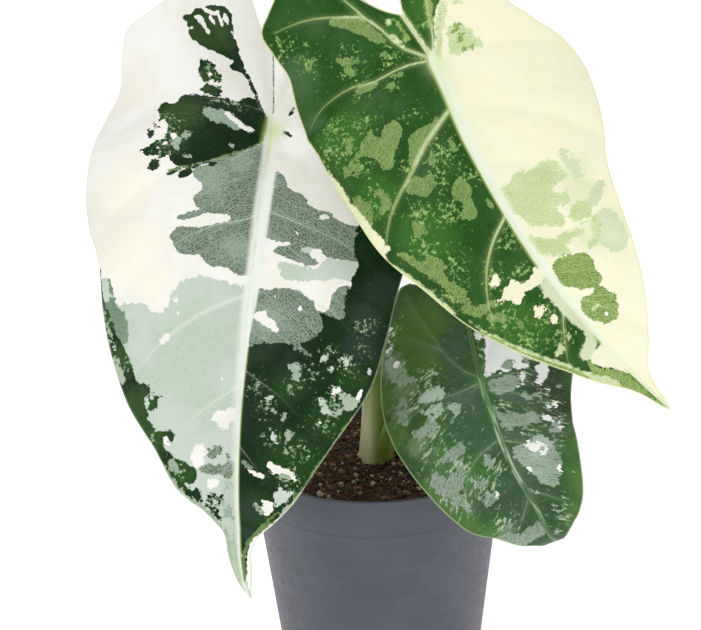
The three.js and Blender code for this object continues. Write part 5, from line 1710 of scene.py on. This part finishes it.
def toned(nodes, shade, tissue, tones, cloudy):
    """Clouds of other tones over a tissue, each with an uneven edge."""
    uneven = nodes.math("SUBTRACT", cloudy, 0.5)
    for index, (place, tone, _) in enumerate(tones):
        if place == tissue:
            share = nodes.math("MULTIPLY_ADD", uneven, 1.2, nodes.value(f"tone_{index}"))
            shade = nodes.mix(nodes.ramp(share, 0.15, 0.85, 0, 0.9), shade, tone)
    return shade


def drawn_out(nodes, flat, lean, stretch):
    """The flat place with lengths along the fine veins shrunk, so that a noise is drawn out along them."""
    split = nodes.split(flat)
    down = nodes.math("MULTIPLY_ADD", nodes.math("ABSOLUTE", split[0]), -lean, split[1])
    across = nodes.math("DIVIDE", split[0], stretch)
    return nodes.add("ShaderNodeCombineXYZ", {0: across, 1: down, 2: split[2]}).outputs[0]


def edge_shifts(nodes, flat, drawn, areole, fray):
    """Three ways for a tissue's edge to stray: slow wobbles, frayed bits and whole cells of the net."""
    wobble = nodes.noise(flat, 8, 1, part="Color")
    wander = nodes.noise(drawn, 3.2, 4, 0.65, part="Color")
    free = nodes.math("ADD", nodes.times(fray, 0.8), 0.15)
    kinds = [(wobble, free, "wobble"), (wander, fray, "wander"), (areole, free, "areole")]
    strays = []
    for colour, room, amount in kinds:
        parts = nodes.add("ShaderNodeSeparateColor", {0: colour}).outputs
        strays.append((parts, nodes.times(room, FRAY[amount])))
    shifts = []
    for channel in range(3):
        total = 0.0
        for parts, amount in strays:
            total = nodes.math("MULTIPLY_ADD", nodes.math("SUBTRACT", parts[channel], 0.5), amount, total)
        shifts.append(total)
    return shifts


def stray(nodes, depth, shifts, index):
    """A tissue's depth after straying; each tissue adds or takes away the three shifts in its own way."""
    for bit, shift in enumerate(shifts):
        depth = nodes.math("MULTIPLY_ADD", shift, 0.6 if index >> bit & 1 else -0.6, depth)
    return depth


def midrib_over(nodes, shade, shape, flat):
    """The midrib with its green edges, its lengthwise streaks and the glow where the stalk meets it."""
    look = shape["look"]
    midrib = nodes.value("midrib")
    dark = nodes.value("dark")
    lengthwise = nodes.noise(nodes.vector("MULTIPLY", flat, (1.0, 0.07, 1.0)), 1.0, 3)
    streaks = nodes.ramp(lengthwise, 0.4, 0.6, 1 - look["streaks"], 1)
    edges = nodes.times(nodes.ramp(midrib, -2.6, 0), nodes.ramp(dark, -2, 0.5, 0, 0.8))
    shade = nodes.mix(edges, shade, look["rib_edge"])
    shade = nodes.mix(nodes.times(nodes.ramp(midrib, -1, 1), streaks), shade, look["rib"])
    glow = nodes.times(nodes.value("junction"), nodes.ramp(dark, -1.5, 0.5, 0.75, shape["junction"][1]))
    return nodes.mix(glow, shade, look["glow"])


def slit_over(nodes, shade, look, flat):
    """The painted shadow in the slit between the back lobes, with its paler lips."""
    unevenly = nodes.noise(flat, 1.5, 2)
    slit = nodes.math("MULTIPLY_ADD", unevenly, 0.5, nodes.math("SUBTRACT", nodes.value("slit"), 0.25))
    lips = nodes.ramp(slit, look["lip_width"] * 0.6, look["lip_width"], 0.85, 0)
    shade = nodes.mix(lips, shade, look["lips"])
    return nodes.mix(nodes.ramp(slit, *look["seam_width"], 0.9, 0), shade, look["seam"])


def margin_material(name, look):
    """The thin, pale, waxy rim of a leaf."""
    material, nodes, skin = new_material(name)
    nodes.feed(skin["Base Color"], nodes.mottled(look["margin"], (176, 192, 130), flat_place(nodes), 9))
    skin["Roughness"].default_value = 0.45
    return material


# ---- other materials


def petiole_material(name, pale, green, foot, olive):
    """Fleshy stalks: paler at the foot, green above, with soft lengthwise streaks and a few brown marks."""
    material, nodes, skin = new_material(name)
    flat = flat_place(nodes)
    streak = nodes.noise(nodes.vector("MULTIPLY", flat, (1.0, 0.05, 1.0)), 4.5, 2)
    split = nodes.split(object_place(nodes))
    tone = nodes.mix(nodes.ramp(streak, 0.35, 0.65), green, pale)
    leftward = nodes.math("MULTIPLY_ADD", nodes.math("SUBTRACT", streak, 0.5), 9.0, split[0])
    base = nodes.mix(nodes.ramp(leftward, -4.5, 0.5), foot, olive)
    shade = nodes.mix(nodes.ramp(split[2], 112, 150), base, tone)
    marks = nodes.noise(nodes.vector("MULTIPLY", flat, (1.0, 0.3, 1.0)), 1.4, 3, 0.7)
    shade = nodes.mix(nodes.ramp(marks, 0.6, 0.7, 0, 0.5), shade, (150, 128, 76))
    nodes.surface(skin, shade, nodes.ramp(streak, 0.3, 0.7, 0.36, 0.48), 0.4)
    nodes.relief(skin, streak, 0.2, 0.2)
    return material


def pot_material():
    """Slate grey moulded plastic: satin, faintly uneven, with fine scuffs, a little dust and a painted
    shadow line at the collar step.
    """
    material, nodes, skin = new_material("slate grey moulded plastic")
    place = object_place(nodes)
    plain = nodes.mottled((73, 76, 85), (78, 81, 90), place, 24.0)
    rings = nodes.noise(nodes.vector("MULTIPLY", place, (0.03, 0.03, 1.0)), 2.2, 3, 0.6)
    shade = nodes.mix(nodes.ramp(rings, 0.3, 0.75, 0, 0.25), plain, (89, 92, 101))
    # painted shadow: a darker line along the collar step, where the step's own shade would fall
    below_collar = nodes.math("SUBTRACT", nodes.split(place)[2], POT.height - POT.collar - 0.3)
    crease = nodes.ramp(nodes.math("ABSOLUTE", below_collar), 0.2, 1.1, 0.35, 0)
    shade = nodes.mix(crease, shade, (50, 52, 60))
    dust = nodes.ramp(nodes.noise(place, 1.4, 4, 0.65), 0.66, 0.76, 0, 0.4)
    shade = nodes.mix(dust, shade, (112, 109, 104))
    nodes.surface(skin, shade, nodes.ramp(nodes.noise(place, 3.5, 4), 0.3, 0.7, 0.44, 0.56), 0.4)
    grain = nodes.times(nodes.noise(place, 0.35, 2), 0.5)
    nodes.relief(skin, nodes.math("ADD", grain, rings), 0.12, 0.06)
    return material


def earth_material(name, ground, other, size, roughness=0.9):
    """Rough, matt matter: potting mix, crumbs, grains, fibres and bark."""
    material, nodes, skin = new_material(name)
    place = object_place(nodes)
    speck = nodes.noise(place, size / 5, 3, 0.65)
    clouded = nodes.mottled(ground, other, place, size)
    shade = nodes.mix(nodes.ramp(speck, 0.35, 0.65, 0.0, 0.45), clouded, other)
    nodes.surface(skin, shade, nodes.ramp(speck, 0.3, 0.7, roughness - 0.12, roughness), 0.3)
    nodes.relief(skin, speck, 0.6, 0.5)
    return material


# ---- the plant, its soil and its pot


def make_leaf(side, shape):
    """A leaf's blade and its stalk."""
    blade = Blade(shape)
    piece = blade_piece(f"leaf_{side}", blade)
    materials = [
        leaf_material(f"leaf {side} upper side", shape),
        leaf_material(f"leaf {side} underside", shape, underside=True),
        margin_material(f"leaf {side} margin", shape["look"]),
    ]
    finish_piece(piece, materials, f"blade_{side}")
    apply_modifiers(piece)
    smooth(piece, 60)
    stalk = petiole_piece(f"stalk_{side}", shape, blade)
    finish_piece(stalk, [PETIOLE], f"petiole_{side}")


PETIOLE = petiole_material("petiole flesh", (158, 178, 112), (100, 126, 56), (220, 218, 174), (122, 142, 60))
make_leaf("left", LEFT)
make_leaf("right", RIGHT)
make_leaf("low", LOW)
finish_piece(sheath_piece(), [PETIOLE])

finish_piece(pot_piece(), [pot_material()], "pot")

mix = earth_material("damp potting mix", (34, 24, 18), (68, 50, 37), 3.0)
finish_piece(soil_piece(), [mix], "soil")
crumb = earth_material("peat crumb", (40, 28, 20), (92, 70, 52), 4.0)
finish_piece(scattered("peat_crumbs", 900, 11, (1.0, 3.6), 0.8, 1), [crumb])
bark = earth_material("bark chip", (104, 78, 56), (140, 112, 84), 5.0)
finish_piece(scattered("bark_chips", 90, 23, (2.2, 5.5), 0.45, 2), [bark])
grit = earth_material("pale crumb", (150, 128, 98), (96, 74, 54), 2.5)
finish_piece(scattered("pale_crumbs", 300, 51, (0.8, 2.8), 0.8, 1), [grit])
perlite = earth_material("perlite grain", (206, 192, 170), (160, 138, 110), 2.0, 0.85)
finish_piece(scattered("perlite_grains", 130, 37, (0.7, 3.2), 0.85, 2), [perlite])
fibre = earth_material("coir fibre", (148, 92, 64), (104, 62, 42), 2.0, 0.8)
finish_piece(fibres_piece("coir_fibres", 170, 5), [fibre])

corm_skin = earth_material("corm skin", (122, 88, 58), (84, 58, 40), 4.0, 0.75)
paint(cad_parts["rootstock"], [corm_skin])

# ---- studio


def floor_material():
    material, nodes, skin = new_material("pale studio floor")
    shade = nodes.mottled((250, 250, 250), (246, 246, 247), object_place(nodes), 400.0)
    nodes.surface(skin, shade, 0.9, 0.1)
    skin["Emission Color"].default_value = (1, 1, 1, 1)
    skin["Emission Strength"].default_value = 0.52
    return material


def studio():
    bpy.ops.mesh.primitive_plane_add(size=14)
    floor = bpy.context.object
    floor.name = "studio_floor"
    floor.data.materials.append(floor_material())
    world = bpy.context.scene.world or bpy.data.worlds.new("studio")
    bpy.context.scene.world = world
    world.use_nodes = True
    sky(Nodes(world.node_tree), world.node_tree.nodes["Background"])
    soft_light("key_light", (-0.75, -1.1, 1.35), 1.3, 12)
    soft_light("fill_light", (1.1, -1.0, 0.75), 1.2, 5)
    soft_light("top_light", (0.1, 0.4, 1.7), 1.2, 6)


def sky(nodes, light):
    """A white room: bright to look at, and softer as light on the plant."""
    seen = nodes.add("ShaderNodeLightPath").outputs["Is Camera Ray"]
    light.inputs["Color"].default_value = (1, 1, 1, 1)
    nodes.feed(light.inputs["Strength"], nodes.ramp(seen, 0, 1, 0.36, 1.1))


def soft_light(name, place, size, power):
    """A round lamp that points at the leaves; its place and size are in metres."""
    light = bpy.data.lights.new(name, "AREA")
    light.shape = "DISK"
    light.size = size
    light.energy = power
    lamp = bpy.data.objects.new(name, light)
    lamp.location = place
    lamp.rotation_euler = (Vector((0, -0.05, 0.2)) - lamp.location).to_track_quat("-Z", "Y").to_euler()
    bpy.context.collection.objects.link(lamp)


def camera():
    down, roll = math.radians(CAMERA.down), math.radians(CAMERA.roll)
    level = Vector((1, 0, 0))
    upright = Vector((0, math.sin(down), math.cos(down)))
    ahead = Vector((0, math.cos(down), -math.sin(down)))
    right = level * math.cos(roll) + upright * math.sin(roll)
    up = upright * math.cos(roll) - level * math.sin(roll)
    data = bpy.data.cameras.new("camera")
    data.lens = CAMERA.lens
    data.sensor_width = CAMERA.sensor
    data.clip_end = 50
    eye = bpy.data.objects.new("camera", data)
    turn = Matrix((right, up, -ahead)).transposed().to_4x4()
    eye.matrix_world = Matrix.Translation(Vector(CAMERA.place) * MM) @ turn
    bpy.context.collection.objects.link(eye)
    bpy.context.scene.camera = eye


studio()
camera()
bpy.context.scene.view_settings.view_transform = "Standard"
